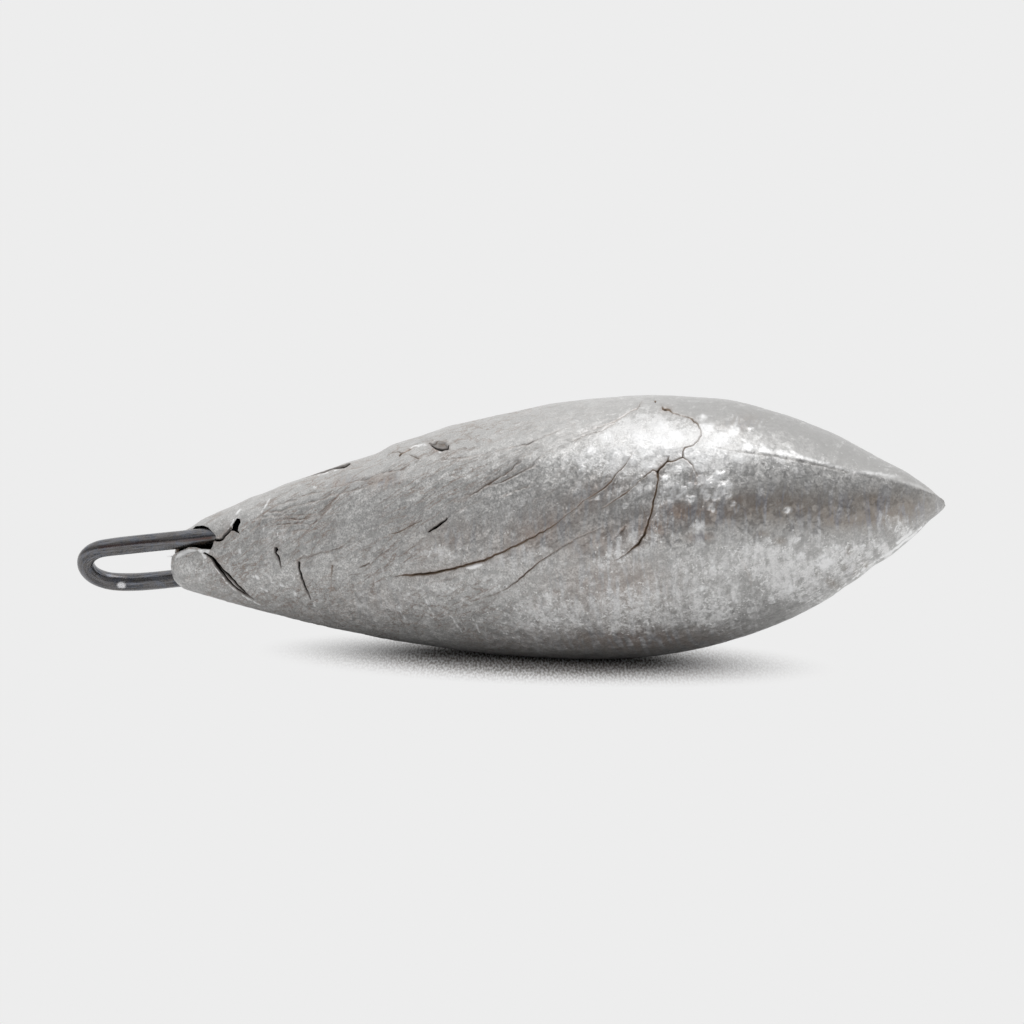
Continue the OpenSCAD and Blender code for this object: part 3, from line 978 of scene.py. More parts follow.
def press_frost(marks, spots, ragged, shares, edge, hollow, lift, gaps):
    """Raises bright spots of frost, each with a hollow in its middle; the crusts also paint the broad
    highlight
    """
    for x, y, radius in spots:
        chosen = marks.close([(x, y)], 2 * radius)
        pixels = wavy(marks.pixels[chosen], *RAGGED[ragged])
        from_middle = near_spot(pixels, x, y, radius * shares[0], radius * shares[1], 0)
        cushion = (1 - smooth(*edge, from_middle)) * marks.seen[chosen]
        cushion *= 1 - hollow * bell(from_middle, 0.3)
        marks.lift[chosen] += lift * cushion
        marks.show("scratch_and_highlight", chosen, cushion * marks.broken(chosen, *gaps))


def press_pits(marks):
    """Sinks the open pits"""
    for x, y, length, tall, slope, depth, darkening in PITS.values():
        chosen = marks.close([(x, y)], 2 * (length + tall))
        spot = near_spot(wavy(marks.pixels[chosen], *RAGGED["pit"]), x, y, length, tall, slope)
        core = (1 - smooth(0.75, 1.1, spot)) * marks.seen[chosen]
        marks.lift[chosen] -= core * depth
        marks.show("crack", chosen, core * darkening)


def press_crest(marks):
    """Paints a highlight along the crest of the seam, and grooves and paints a shade line below it"""
    for _, chosen, distance, strength, _ in marks.lines(CREST_HIGHLIGHTS, 11):
        band = bell(distance, 1.5) * strength * marks.seen[chosen]
        marks.show("scratch_and_highlight", chosen, band * marks.broken(chosen, 2.1, 0.42, 0.87))
    # Painted shade: the line below the crest is darkened with the crack mask and greyed with the deep mask
    for _, chosen, distance, strength, _ in marks.lines({"shade": CREST_SHADE}, 11):
        line = bell(distance, 0.9) * strength * marks.seen[chosen]
        marks.lift[chosen] -= 0.45 * line
        marks.show("crack", chosen, 0.26 * line)
        marks.show("deep", chosen, strength * (1 - smooth(2, 6, distance)))


def press_lumps(marks):
    """Swells and sinks the outline"""
    for x, y, length, tall, lift in LUMPS:
        marks.lift += bell(near_spot(marks.pixels, x, y, length, tall, 0), 1) * lift * marks.outer


def lay_spots(marks):
    """Lays the patches of frost and the stains, which only colour the skin, and also paint the broad
    highlight and the shade of the dark band and the bottom edge
    """
    for name, spots in (("frost", FROST), ("stain", STAINS_AND_SHADE)):
        for x, y, length, tall, slope, strength in spots:
            spot = np.exp(-1.2 * near_spot(marks.pixels, x, y, length, tall, slope) ** 2)
            marks.masks[name] = np.maximum(marks.masks[name], spot * strength * marks.seen)


def cut_marks(marks):
    """Puts every mark of the photographed side on the skin"""
    press_cracks(marks)
    press_folds(marks)
    press_scratches(marks)
    press_frost(marks, ROSETTES, **ROSETTE)
    press_frost(marks, CRUSTS_AND_HIGHLIGHT, **CRUST)
    press_pits(marks)
    press_crest(marks)
    press_lumps(marks)
    lay_spots(marks)


def spread_to_far_side(marks, places, station):
    """Lays frost and stains on the side that the photo doesn't show, as patches of a broad noise"""
    nose = smooth(*FROSTED_NOSE, station)
    patches = smooth(-0.5, 0.7, field(places, **FAR_FROST))
    browned = smooth(-0.1, 0.8, field(places, **FAR_STAINS))
    marks.masks["frost"] = np.maximum(marks.masks["frost"], marks.far * nose * (0.2 + 0.5 * patches))
    marks.masks["stain"] = np.maximum(marks.masks["stain"], marks.far * browned * 0.7)


def settle_order(mesh):
    """Puts a mesh's points, edges and faces in an order that is the same each run"""
    places = read_points(mesh)
    order = np.lexsort(places.T)
    rank = np.argsort(order).tolist()
    faces = []
    for face in mesh.polygons:
        corners = [rank[corner] for corner in face.vertices]
        first = corners.index(min(corners))
        faces.append(corners[first:] + corners[:first])
    mesh.clear_geometry()
    mesh.from_pydata(places[order], [], sorted(faces))


def split_long_edges(piece, casting, longest):
    """Halves each edge that is longer than longest says at its ends, and rounds out the new points"""
    mesh = piece.data
    places = read_points(mesh)
    ends = np.empty(len(mesh.edges) * 2, int)
    mesh.edges.foreach_get("vertices", ends)
    first, second = ends.reshape(-1, 2).T
    length = np.linalg.norm(places[first] - places[second], axis=1)
    cut = length > np.minimum(longest[first], longest[second])
    pick(piece)
    bpy.ops.object.mode_set(mode="EDIT")
    bpy.ops.mesh.select_mode(type="EDGE")
    bpy.ops.mesh.select_all(action="DESELECT")
    shape = bmesh.from_edit_mesh(mesh)
    for edge, chosen in zip(shape.edges, cut):
        edge.select_set(bool(chosen))
    bmesh.update_edit_mesh(mesh)
    bpy.ops.mesh.subdivide(number_cuts=1, quadcorner="INNERVERT")
    bpy.ops.object.mode_set(mode="OBJECT")
    settle_order(mesh)
    write_points(mesh, put_on_skin(casting, read_points(mesh)))
    return int(cut.sum())


def add_casting_blank(casting):
    """A smooth blank of the casting in its own frame: a globe drawn out to the mould halves' outline"""
    widest = casting.body_thickness / 2
    meridians = 2 * int(math.pi * widest / casting.coarse_edge / 2) + 2
    meridians -= meridians % 4
    round_rings = 6
    face_shares = [0.5, 1.0]
    body_rings = int((casting.tail_length + casting.nose_length) / casting.coarse_edge)
    turns = [math.pi / 2 * k / round_rings for k in range(1, round_rings)]
    from_end = [casting.end_round * (1 - math.cos(turn)) for turn in turns]
    start = casting.end_round - casting.tail_length
    stations = [-casting.tail_length] * len(face_shares)
    stations += [reach - casting.tail_length for reach in from_end]
    stations += [start + (casting.nose_length - start) * k / body_rings for k in range(body_rings + 1)]
    shares = face_shares + [1.0] * (len(stations) - len(face_shares))
    stations = np.array([-casting.tail_length, *stations, casting.nose_length])
    shares = np.array([0.0, *shares, 0.0])
    deselect_all()
    bpy.ops.mesh.primitive_uv_sphere_add(
        segments=meridians, ring_count=len(stations) - 1, radius=widest, rotation=(0, math.pi / 2, 0),
    )
    piece = bpy.context.object
    piece.name = piece.data.name = "lead_casting"
    bake_place(piece)
    settle_order(piece.data)
    globe = read_points(piece.data)
    from_pole = np.arccos(np.clip(-globe[:, 0] / widest, -1, 1)) / math.pi
    ring = np.rint(from_pole * (len(stations) - 1)).astype(int)
    angle = np.arctan2(globe[:, 2], globe[:, 1])
    radius = skin_radius(casting, stations[ring], angle) * shares[ring]
    write_points(piece.data, np.stack([stations[ring], radius * np.cos(angle), radius * np.sin(angle)], 1))
    return piece


def refine_blank(piece, casting, pose, view):
    """Splits the blank's mesh finer on the photographed side, and finest beside its cracks and pits"""
    drawn = (*FOLDS.values(), *SCRATCHES.values(), *CREST_HIGHLIGHTS.values(), CREST_SHADE)
    rosettes = [(x, y, radius, radius, 0) for x, y, radius in ROSETTES]
    pits = [pit[:5] for pit in PITS.values()]
    for _ in range(6):
        places = moved(read_points(piece.data), pose)
        normals = read_normals(piece.data) @ np.array(pose.to_3x3()).T
        marks = Marks(view, places, normals)
        facing = view.facing(places, normals)
        longest = np.where(facing > -0.12, casting.fine_edge, casting.coarse_edge * 1.3)
        longest[marks.near_lines(drawn, 2.6) | marks.near_spots(rosettes, 1)] = casting.crack_edge * 1.8
        longest[marks.near_lines(CRACKS.values(), 4.5)] = casting.crack_edge * 1.6
        longest[marks.near_lines(CRACKS.values(), 2) | marks.near_spots(pits, 2)] = casting.crack_edge
        if not split_long_edges(piece, casting, longest):
            break


def grain_heights(places, station):
    """The casting's own unevenness at each vertex"""
    tail = 1 - smooth(*WRINKLED_TAIL, station)
    height = np.zeros(len(places))
    for degrees, noise_settings, on_nose, on_tail in UNEVENNESS.values():
        turned = moved(places, Matrix.Rotation(math.radians(degrees), 4, "Y"))
        height += field(turned, **noise_settings) * (on_nose + (on_tail - on_nose) * tail)
    return height


def store_mask(mesh, name, values):
    """Keeps a mask from 0 to 1 for each vertex, for the finish to read"""
    layer = mesh.attributes.get(name) or mesh.attributes.new(name, "FLOAT", "POINT")
    layer.data.foreach_set("value", np.clip(values, 0, 1).astype(np.float32))


def shape_skin(piece, pose, view, pixel):
    """Lays the blank on the table, moves its skin by its marks and its grain, and keeps their masks"""
    station = read_points(piece.data)[:, 0]
    write_points(piece.data, moved(read_points(piece.data), pose))
    places, normals = read_points(piece.data), read_normals(piece.data)
    marks = Marks(view, places, normals)
    cut_marks(marks)
    spread_to_far_side(marks, places, station)
    places += normals * (marks.lift * pixel + grain_heights(places, station))[:, None]
    places[:, 2] = np.maximum(places[:, 2], 0)
    write_points(piece.data, places)
    marks.masks["calm"] = smooth(0.5, 0.88, normals[:, 2])
    # Painted shade: the finish darkens the skin that faces down, under the casting
    marks.masks["underside_shade"] = smooth(0.8, 0.96, -normals[:, 2])
    for name, values in marks.masks.items():
        store_mask(piece.data, name, values)


def eye_plane(eye, pose):
    """A point of the plane that the wire's centre line lies in, the plane's normal and its turn"""
    turn = pose @ Matrix.Rotation(-eye.eye_roll, 4, "X")
    return turn.translation, (turn.to_3x3() @ Vector((0, 0, 1))).normalized(), turn


def eye_course(casting, eye, pose, view):
    """The wire's centre line in the part's frame, from the upper leg's hidden end to the lower's"""
    centre, normal, turn = eye_plane(eye, pose)
    shown = []
    for pixel in EYE_LINE:
        start, aim = view.ray(pixel)
        shown.append(start + aim * ((centre - start).dot(normal) / aim.dot(normal)))
    lead_end = turn @ Vector((-casting.tail_length, 0, 0))
    along = (turn.to_3x3() @ Vector((1, 0, 0))).normalized()
    ends = []
    for inner, outer in ((shown[0], shown[3]), (shown[-1], shown[-3])):
        leg = (inner - outer).normalized()
        depth = eye.leg_depth - (inner - lead_end).dot(along)
        hook_start = inner + leg * depth
        away = (inner - lead_end) - along * (inner - lead_end).dot(along)
        outward = (away - leg * away.dot(leg)).normalized()
        hook = [hook_start - leg * lead_in for lead_in in HOOK_LEAD_IN]
        for step in range(HOOK_STEPS + 1):
            angle = eye.hook_turn * step / HOOK_STEPS
            hook.append(hook_start + leg * eye.hook_radius * math.sin(angle)
                        + outward * eye.hook_radius * (1 - math.cos(angle)))
        ends.append(hook)
    return ends[0][::-1] + shown + ends[1]


def smooth_course(points, spacing):
    """A curve through the points, cut into even steps"""
    fine = []
    padded = [points[0] * 2 - points[1], *points, points[-1] * 2 - points[-2]]
    for before, start, end, after in zip(padded, padded[1:], padded[2:], padded[3:]):
        steps = max(1, round((end - start).length / spacing))
        for step in range(steps):
            t = step / steps
            square = (2 * before - 5 * start + 4 * end - after) * t * t
            cube = (3 * start - before - 3 * end + after) * t * t * t
            fine.append(0.5 * (2 * start + (end - before) * t + square + cube))
    return [*fine, points[-1]]


def add_rod(name, course, radii, sides):
    """A round rod along a course, made as a thick curve and turned into a mesh"""
    deselect_all()
    bpy.ops.curve.primitive_nurbs_path_add()
    rod = bpy.context.object
    rod.name = name
    rod.data.splines.clear()
    spline = rod.data.splines.new("POLY")
    spline.points.add(len(course) - 1)
    for point, place, radius in zip(spline.points, course, radii):
        point.co = (*place, 1)
        point.radius = radius
    rod.data.dimensions = "3D"
    rod.data.bevel_depth = 1
    rod.data.bevel_resolution = sides // 4 - 1
    rod.data.use_fill_caps = True
    pick(rod)
    bpy.ops.object.convert(target="MESH")
    rod = bpy.context.object
    rod.name = rod.data.name = name
    bpy.ops.object.mode_set(mode="EDIT")
    bpy.ops.mesh.select_all(action="SELECT")
    bpy.ops.mesh.remove_doubles(threshold=1e-7)
    bpy.ops.mesh.normals_make_consistent(inside=False)
    bpy.ops.object.mode_set(mode="OBJECT")
    return rod


def wire_radii(course, eye, view):
    """The wire's radius along its course, thinner round the bend"""
    pixels = view.pixels(np.array([list(place) for place in course]))
    bend = 1 - smooth(*BEND_PIXELS, pixels[:, 0])
    return eye.wire / 2 - eye.bend_thinning * bend


def cut_away(piece, cutter):
    """Cuts one closed mesh out of another and removes the cutter"""
    pick(piece)
    least = 0.9 * len(piece.data.vertices)
    cut = piece.modifiers.new("Cut", "BOOLEAN")
    cut.operation = "DIFFERENCE"
    cut.solver = "EXACT"
    cut.object = cutter
    bpy.ops.object.modifier_apply(modifier=cut.name)
    if len(piece.data.vertices) < least:
        raise RuntimeError(f"cutting {cutter.name} out of {piece.name} lost part of it")
    bpy.data.objects.remove(cutter)


def add_prism(name, pixels, view, depth, surface):
    """A straight block along the line of sight through a ring of pixels, down to a depth behind a surface.

    The surface gives how far along a line of sight it lies, or None where the line misses it.
    """
    deselect_all()
    bpy.ops.mesh.primitive_cylinder_add(vertices=len(pixels), radius=1, depth=2)
    block = bpy.context.object
    block.name = block.data.name = name
    rays = [view.ray(pixel) for pixel in pixels]
    found = [hit for hit in (surface(*ray) for ray in rays) if hit]
    near, far = min(found) - CUTTER_FRONT, max(found) + depth
    for vertex in block.data.vertices:
        turn = math.atan2(vertex.co.x, vertex.co.y) / (2 * math.pi) * len(pixels)
        start, aim = rays[round(turn) % len(pixels)]
        vertex.co = start + aim * (far if vertex.co.z > 0 else near)
    pick(block)
    bpy.ops.object.mode_set(mode="EDIT")
    bpy.ops.mesh.select_all(action="SELECT")
    bpy.ops.mesh.quads_convert_to_tris()
    bpy.ops.mesh.normals_make_consistent(inside=False)
    bpy.ops.mesh.subdivide(number_cuts=9)
    bpy.ops.object.mode_set(mode="OBJECT")
    return block


def darken_depths(mesh, skin):
    """Paints shade where the cuts lie well below the skin"""
    darkening = np.empty(len(mesh.vertices))
    mesh.attributes["crack"].data.foreach_get("value", darkening)
    below = np.array([skin.find_nearest(vertex.co)[3] for vertex in mesh.vertices])
    store_mask(mesh, "crack", np.maximum(darkening, smooth(*SHADED_DEPTHS, below)))


def open_eye_end(piece, casting, eye, pose, view):
    """Cuts the broken openings and the channel of the wire, and paints shade in them"""
    skin = BVHTree.FromObject(piece, bpy.context.evaluated_depsgraph_get())
    centre, normal, _ = eye_plane(eye, pose)
    surfaces = {
        "skin": lambda start, aim: skin.ray_cast(start, aim)[3],
        "wire": lambda start, aim: (centre - start).dot(normal) / aim.dot(normal),
    }
    course = smooth_course(eye_course(casting, eye, pose, view), 0.3 * MM)
    radii = wire_radii(course, eye, view) + eye.wire_gap
    for name, (pixels, depth, behind) in OPENINGS.items():
        cut_away(piece, add_prism(name, pixels, view, depth, surfaces[behind]))
    cut_away(piece, add_rod("channel", course, radii, 32))
    darken_depths(piece.data, skin)


def finish_piece(piece, material, degrees):
    """Gives a piece its finish, and rounds its shading over edges up to an angle"""
    pick(piece)
    bpy.ops.object.shade_smooth_by_angle(angle=math.radians(degrees))
    piece.data.materials.clear()
    piece.data.materials.append(bpy.data.materials[material])


def add_node(tree, kind, inputs=None, **settings):
    """A shader node with its settings and its inputs, which are values or another node's outputs"""
    node = tree.nodes.new(kind)
    for name, value in settings.items():
        setattr(node, name, value)
    for name, value in (inputs or {}).items():
        if isinstance(value, bpy.types.NodeSocket):
            tree.links.new(value, node.inputs[name])
        else:
            node.inputs[name].default_value = value
    return node


def ramp(tree, value, low, high):
    """A smooth rise from 0 at low to 1 at high"""
    node = add_node(tree, "ShaderNodeMapRange", {"Value": value, "From Min": low, "From Max": high},
                    interpolation_type="SMOOTHSTEP")
    return node.outputs["Result"]


def calculate(tree, operation, first, second=0.0):
    """One sum of two values"""
    return add_node(tree, "ShaderNodeMath", {0: first, 1: second}, operation=operation).outputs[0]


def product(tree, first, second):
    """One value times another"""
    return calculate(tree, "MULTIPLY", first, second)


def total(tree, first, second):
    """One value added to another"""
    return calculate(tree, "ADD", first, second)


def between(tree, value, start, end):
    """A value that runs from start to end as another runs from 0 to 1"""
    return total(tree, product(tree, value, end - start), start)


def blend_colour(tree, share, first, second):
    """The first colour with a share of the second"""
    node = add_node(tree, "ShaderNodeMix", data_type="RGBA", blend_type="MIX")
    for socket, value in ((node.inputs[0], share), (node.inputs[6], first), (node.inputs[7], second)):
        if isinstance(value, bpy.types.NodeSocket):
            tree.links.new(value, socket)
        elif socket == node.inputs[0]:
            socket.default_value = value
        else:
            socket.default_value = (*value, 1)
    return node.outputs[2]


def toned(colour, brightness):
    """A colour made darker or brighter"""
    return [part * brightness for part in colour]


def coat(tree, colour, mask, share, over):
    """A colour with another laid over it where a mask shows, up to a share"""
    return blend_colour(tree, product(tree, mask, share), colour, over)


def mask_of(tree, name):
    """A mask that the mesh carries"""
    return add_node(tree, "ShaderNodeAttribute", attribute_name=name).outputs["Fac"]


def add_noise(tree, place, scale, detail=5, **settings):
    """A noise at each place, which may come from another node"""
    inputs = {"Vector": place, "Scale": scale, "Detail": detail}
    inputs.update({label.title(): value for label, value in settings.items()})
    return add_node(tree, "ShaderNodeTexNoise", inputs).outputs["Fac"]


def stretched_noise(tree, place, degrees, stretch, scale, detail):
    """A noise drawn out along a direction that is turned about Y"""
    course = add_node(tree, "ShaderNodeMapping", {
        "Vector": place, "Rotation": (0, -math.radians(degrees), 0), "Scale": stretch,
    }, vector_type="TEXTURE")
    return add_noise(tree, course.outputs["Vector"], scale, detail, roughness=0.6, distortion=0.5)


def hair_lines(tree, value, width):
    """Thin lines where a noise crosses its middle"""
    off = calculate(tree, "ABSOLUTE", calculate(tree, "SUBTRACT", value, 0.5))
    return calculate(tree, "SUBTRACT", 1.0, ramp(tree, off, 0.0, width))


def new_group(name, vectors, inputs, outputs, kind="NodeSocketFloat"):
    """A shader node group with vector and number inputs"""
    group = bpy.data.node_groups.new(name, "ShaderNodeTree")
    for label in vectors:
        group.interface.new_socket(label, in_out="INPUT", socket_type="NodeSocketVector")
    for label, value in inputs.items():
        group.interface.new_socket(label, in_out="INPUT", socket_type="NodeSocketFloat").default_value = value
    for label in outputs:
        group.interface.new_socket(label, in_out="OUTPUT", socket_type=kind)
    return group, group.nodes.new("NodeGroupInput"), group.nodes.new("NodeGroupOutput")


def build_facet_group():
    """Tilts the normal another way in each small crystal"""
    group, given, made = new_group(
        "facets", ["Coordinates", "Normal"], {"Cell Scale": 3000, "Tilt": 0.3}, ["Normal"],
        "NodeSocketVector",
    )
    cells = add_node(group, "ShaderNodeTexVoronoi", {
        "Vector": given.outputs["Coordinates"], "Scale": given.outputs["Cell Scale"], "Randomness": 1,
    })
    centred = add_node(group, "ShaderNodeVectorMath", {
        0: cells.outputs["Color"], 1: (0.5, 0.5, 0.5),
    }, operation="SUBTRACT").outputs[0]
    push = add_node(group, "ShaderNodeVectorMath", {
        0: centred, "Scale": given.outputs["Tilt"],
    }, operation="SCALE")
    tilted = add_node(group, "ShaderNodeVectorMath", {
        0: given.outputs["Normal"], 1: push.outputs[0],
    }, operation="ADD").outputs[0]
    level = add_node(group, "ShaderNodeVectorMath", {0: tilted}, operation="NORMALIZE").outputs[0]
    group.links.new(level, made.inputs["Normal"])
    return group


def build_mottle_group():
    """Blotches of one size broken up by finer grain and crystals, as frost, dust and stains lie on metal"""
    group, given, made = new_group(
        "mottle", ["Coordinates"],
        {"Blotch Scale": 900, "Grain Scale": 4000, "Cover": 0.5, "Softness": 0.1}, ["Mask", "Grain"],
    )
    place, cover, softness = (given.outputs[label] for label in ("Coordinates", "Cover", "Softness"))
    blotch = add_noise(group, place, given.outputs["Blotch Scale"], roughness=0.62, distortion=0.5)
    grain = add_noise(group, place, given.outputs["Grain Scale"], 3, roughness=0.6)
    crystal = add_node(group, "ShaderNodeTexVoronoi", {
        "Vector": place, "Scale": product(group, given.outputs["Grain Scale"], 0.5), "Randomness": 1,
    })
    whole = total(group, blotch, product(group, grain, 0.5))
    whole = calculate(group, "SUBTRACT", whole, product(group, crystal.outputs["Distance"], 0.22))
    edge = calculate(group, "SUBTRACT", 1.0, cover)
    low, high = calculate(group, "SUBTRACT", edge, softness), total(group, edge, softness)
    group.links.new(ramp(group, whole, low, high), made.inputs["Mask"])
    group.links.new(grain, made.inputs["Grain"])
    return group


def place_group(tree, group, coordinates, **values):
    """A group in a material, with its own values"""
    node = add_node(tree, "ShaderNodeGroup", node_tree=group)
    tree.links.new(coordinates, node.inputs["Coordinates"])
    for label, value in values.items():
        socket = node.inputs[label.replace("_", " ").title()]
        if isinstance(value, bpy.types.NodeSocket):
            tree.links.new(value, socket)
        else:
            socket.default_value = value
    return node


def new_material(name):
    """An empty node material"""
    material = bpy.data.materials.new(name)
    material.use_nodes = True
    material.node_tree.nodes.clear()
    return material


def new_finish(name):
    """The nodes of a new material with its Principled shader"""
    tree = new_material(name).node_tree
    shader = tree.nodes.new("ShaderNodeBsdfPrincipled")
    result = tree.nodes.new("ShaderNodeOutputMaterial")
    tree.links.new(shader.outputs["BSDF"], result.inputs["Surface"])
    return tree, shader


def lead_patterns(tree, place, mottle):
    """What the lead's colour and relief share: its masks, its noises and its places along X"""
    along = add_node(tree, "ShaderNodeSeparateXYZ", {0: place}).outputs["X"]
    pattern = {name: ramp(tree, along, *ends) for name, ends in LEAD_STATIONS.items()}
    for name, settings in LEAD_NOISES.items():
        pattern[name] = stretched_noise(tree, place, *settings)
    for name in (*MARK_MASKS, "calm", "underside_shade"):
        pattern[name] = mask_of(tree, name)
    pattern["grain"] = place_group(tree, mottle, place, **FINE_GRAIN).outputs["Grain"]
    lines = product(tree, hair_lines(tree, pattern["flow"], 0.03), ramp(tree, pattern["broad"], 0.35, 0.6))
    pattern["wrinkle"] = product(tree, lines, pattern["tail"])
    return pattern


def dull_lead(tree, place, mottle, colours, pattern):
    """The colour of bare lead, with its grain, its broad tones, flow lines and flecks"""
    grit = add_noise(tree, place, 8200, 2)
    masks = {
        "broad": ramp(tree, pattern["broad"], 0.4, 0.62),
        "patch": ramp(tree, pattern["patch"], 0.58, 0.4),
        "tip": pattern["tip"],
        "calm": pattern["calm"],
        # Painted shade on the skin of the nose that faces up
        "worn": product(tree, pattern["calm"], pattern["worn"]),
        "raised": product(tree, ramp(tree, grit, 0.5, 0.72), pattern["tail"]),
        "sunk": product(tree, ramp(tree, grit, 0.5, 0.28), pattern["tail"]),
    }
    dark, bright = (toned(colours.lead, brightness) for brightness in GRAIN_TONES)
    dull = blend_colour(tree, ramp(tree, pattern["grain"], 0.3, 0.7), dark, bright)
    for name, (share, brightness) in LEAD_TONES.items():
        dull = coat(tree, dull, masks[name], share, toned(colours.lead, brightness))
    dull = coat(tree, dull, pattern["wrinkle"], 0.7, colours.stain)
    flecks = place_group(tree, mottle, place, **LEAD_FLECKS).outputs["Mask"]
    return coat(tree, dull, flecks, 0.5, colours.frost)


def frost_cover(tree, place, mottle, pattern):
    """Where white frost lies: a haze that is streaked across the nose, with dots in it"""
    off_tail = calculate(tree, "SUBTRACT", 1.0, pattern["tail"])
    streaked = product(tree, between(tree, pattern["turning"], -0.45, 0.45), off_tail)
    clouds = add_noise(tree, place, 1150, roughness=0.6, distortion=0.3)
    icy = total(tree, total(tree, clouds, streaked), product(tree, pattern["frost"], 0.42))
    haze = product(tree, ramp(tree, icy, 0.55, 1.04), 0.92)
    cover = between(tree, calculate(tree, "MINIMUM", pattern["frost"], 0.75), 0.07, 0.43)
    dots = place_group(tree, mottle, place, **FROST_DOTS, cover=cover).outputs["Mask"]
    grained = between(tree, ramp(tree, pattern["grain"], 0.3, 0.6), 0.66, 1.0)
    return product(tree, calculate(tree, "MAXIMUM", haze, dots), grained)


def lead_colour(tree, place, mottle, colours, pattern, white):
    """The colour of the casting: bare lead, stains, frost, painted shade below, folds, scratches and painted
    highlights, and cracks with their dirt and painted shade
    """
    blotches = place_group(tree, mottle, place, **STAIN_BLOTCHES).outputs["Mask"]
    stained = product(tree, pattern["stain"], between(tree, blotches, 0.62, 0.97))
    brown = blend_colour(tree, pattern["olive"], colours.stain, colours.olive)
    tinted = blend_colour(tree, ramp(tree, pattern["turning"], 0.47, 0.59), brown, colours.blue)
    # Stains, which also paint shade along the dark band below the seam and along the bottom edge
    coloured = blend_colour(tree, stained, dull_lead(tree, place, mottle, colours, pattern), tinted)
    # Frost, which also paints the broad highlight on the upper side
    coloured = coat(tree, coloured, white, 0.85, colours.frost)
    # Painted shade: the skin that faces down is darkened towards a dark lead tone
    coloured = coat(tree, coloured, pattern["underside_shade"], 0.38, toned(colours.lead, 0.14))
    coloured = coat(tree, coloured, pattern["fold"], 0.85, colours.stain)
    # Scratches, and painted highlights and reflections, in bright white
    coloured = blend_colour(tree, pattern["scratch_and_highlight"], coloured, colours.bright)
    crack = pattern["crack"]
    rim = blend_colour(tree, pattern["deep"], colours.crack_rim, colours.deep_rim_and_crest_shade)
    coloured = blend_colour(tree, ramp(tree, crack, 0.0, 0.5), coloured, rim)
    # Dirt in the cracks, and painted shade where the deep cracks, the pits and the cut openings go almost
    # black
    coloured = blend_colour(tree, ramp(tree, crack, 0.66, 0.94), coloured, colours.crack)
    return blend_colour(tree, ramp(tree, crack, 0.86, 0.95), coloured, toned(colours.crack, 0.15))


def lead_normal(tree, place, facets, pattern, white):
    """The casting's fine relief: grain, flow lines and frost, and facets of two sizes that catch the light"""
    rippled = product(tree, pattern["flow"], between(tree, pattern["tail"], 0.3, 1.6))
    heights = total(tree, product(tree, pattern["grain"], 0.7), rippled)
    heights = calculate(tree, "SUBTRACT", heights, product(tree, pattern["wrinkle"], 0.8))
    heights = total(tree, heights, product(tree, white, 0.4))
    tilt = total(tree, between(tree, white, 0.22, 0.16), product(tree, pattern["tail"], 0.07))
    tilt = product(tree, tilt, between(tree, pattern["calm"], 1.0, 0.5))
    normal = add_node(tree, "ShaderNodeBump", {
        "Height": heights, "Strength": 0.6, "Distance": 0.07 * MM,
    }).outputs["Normal"]
    for cell_scale in FACET_SCALES:
        cells = place_group(tree, facets, place, cell_scale=cell_scale, tilt=tilt, normal=normal)
        normal = cells.outputs["Normal"]
    return normal


def build_lead_material(colours, mottle, facets):
    """Dull cast lead: flow lines on the tail, frost on the nose, stains, dirt in the cracks, and painted
    shade, highlights and reflections
    """
    tree, shader = new_finish("lead_finish")
    place = tree.nodes.new("ShaderNodeTexCoord").outputs["Object"]
    pattern = lead_patterns(tree, place, mottle)
    white = frost_cover(tree, place, mottle, pattern)
    polished = total(tree, between(tree, pattern["grain"], 0.25, 0.5), product(tree, pattern["tail"], 0.12))
    bare = calculate(tree, "MAXIMUM", between(tree, white, 1.0, 0.3), pattern["crack"])
    finish = {
        "Base Color": lead_colour(tree, place, mottle, colours, pattern, white),
        "Roughness": calculate(tree, "MAXIMUM", polished, product(tree, pattern["crack"], 0.9)),
        "Metallic": product(tree, bare, 0.85),
        "Normal": lead_normal(tree, place, facets, pattern, white),
    }
    for label, value in finish.items():
        tree.links.new(value, shader.inputs[label])


def build_wire_material(colours, mottle):
    """Dark drawn steel: streaks along the wire, worn bright spots and brown tarnish"""
    tree, shader = new_finish("wire_finish")
    course = tree.nodes.new("ShaderNodeUVMap")
    course.uv_map = "UVMap"
    along = add_node(tree, "ShaderNodeMapping", {"Vector": course.outputs["UV"], "Scale": WIRE_STREAKS})
    streak = add_noise(tree, along.outputs["Vector"], 6, 4, roughness=0.65)
    place = tree.nodes.new("ShaderNodeTexCoord").outputs["Object"]
    spots = place_group(tree, mottle, place, **WIRE_SPOTS)
    grain, fleck = spots.outputs["Grain"], mask_of(tree, "fleck")
    dark, bright = (toned(colours.steel, brightness) for brightness in STREAK_TONES)
    coloured = blend_colour(tree, ramp(tree, streak, 0.38, 0.62), dark, bright)
    coloured = coat(tree, coloured, ramp(tree, grain, 0.42, 0.66), 0.3, toned(colours.steel, 1.9))
    coloured = coat(tree, coloured, spots.outputs["Mask"], 0.3, colours.tarnish)
    coloured = coat(tree, coloured, mask_of(tree, "rust"), 0.8, colours.rust)
    finish = {
        "Base Color": blend_colour(tree, fleck, coloured, colours.fleck),
        "Metallic": between(tree, fleck, 0.9, 0.2),
        "Roughness": between(tree, grain, 0.16, 0.38),
        "Normal": add_node(tree, "ShaderNodeBump", {
            "Height": total(tree, streak, product(tree, grain, 0.3)), "Strength": 0.4, "Distance": 0.05 * MM,
        }).outputs["Normal"],
    }
    for label, value in finish.items():
        tree.links.new(value, shader.inputs[label])


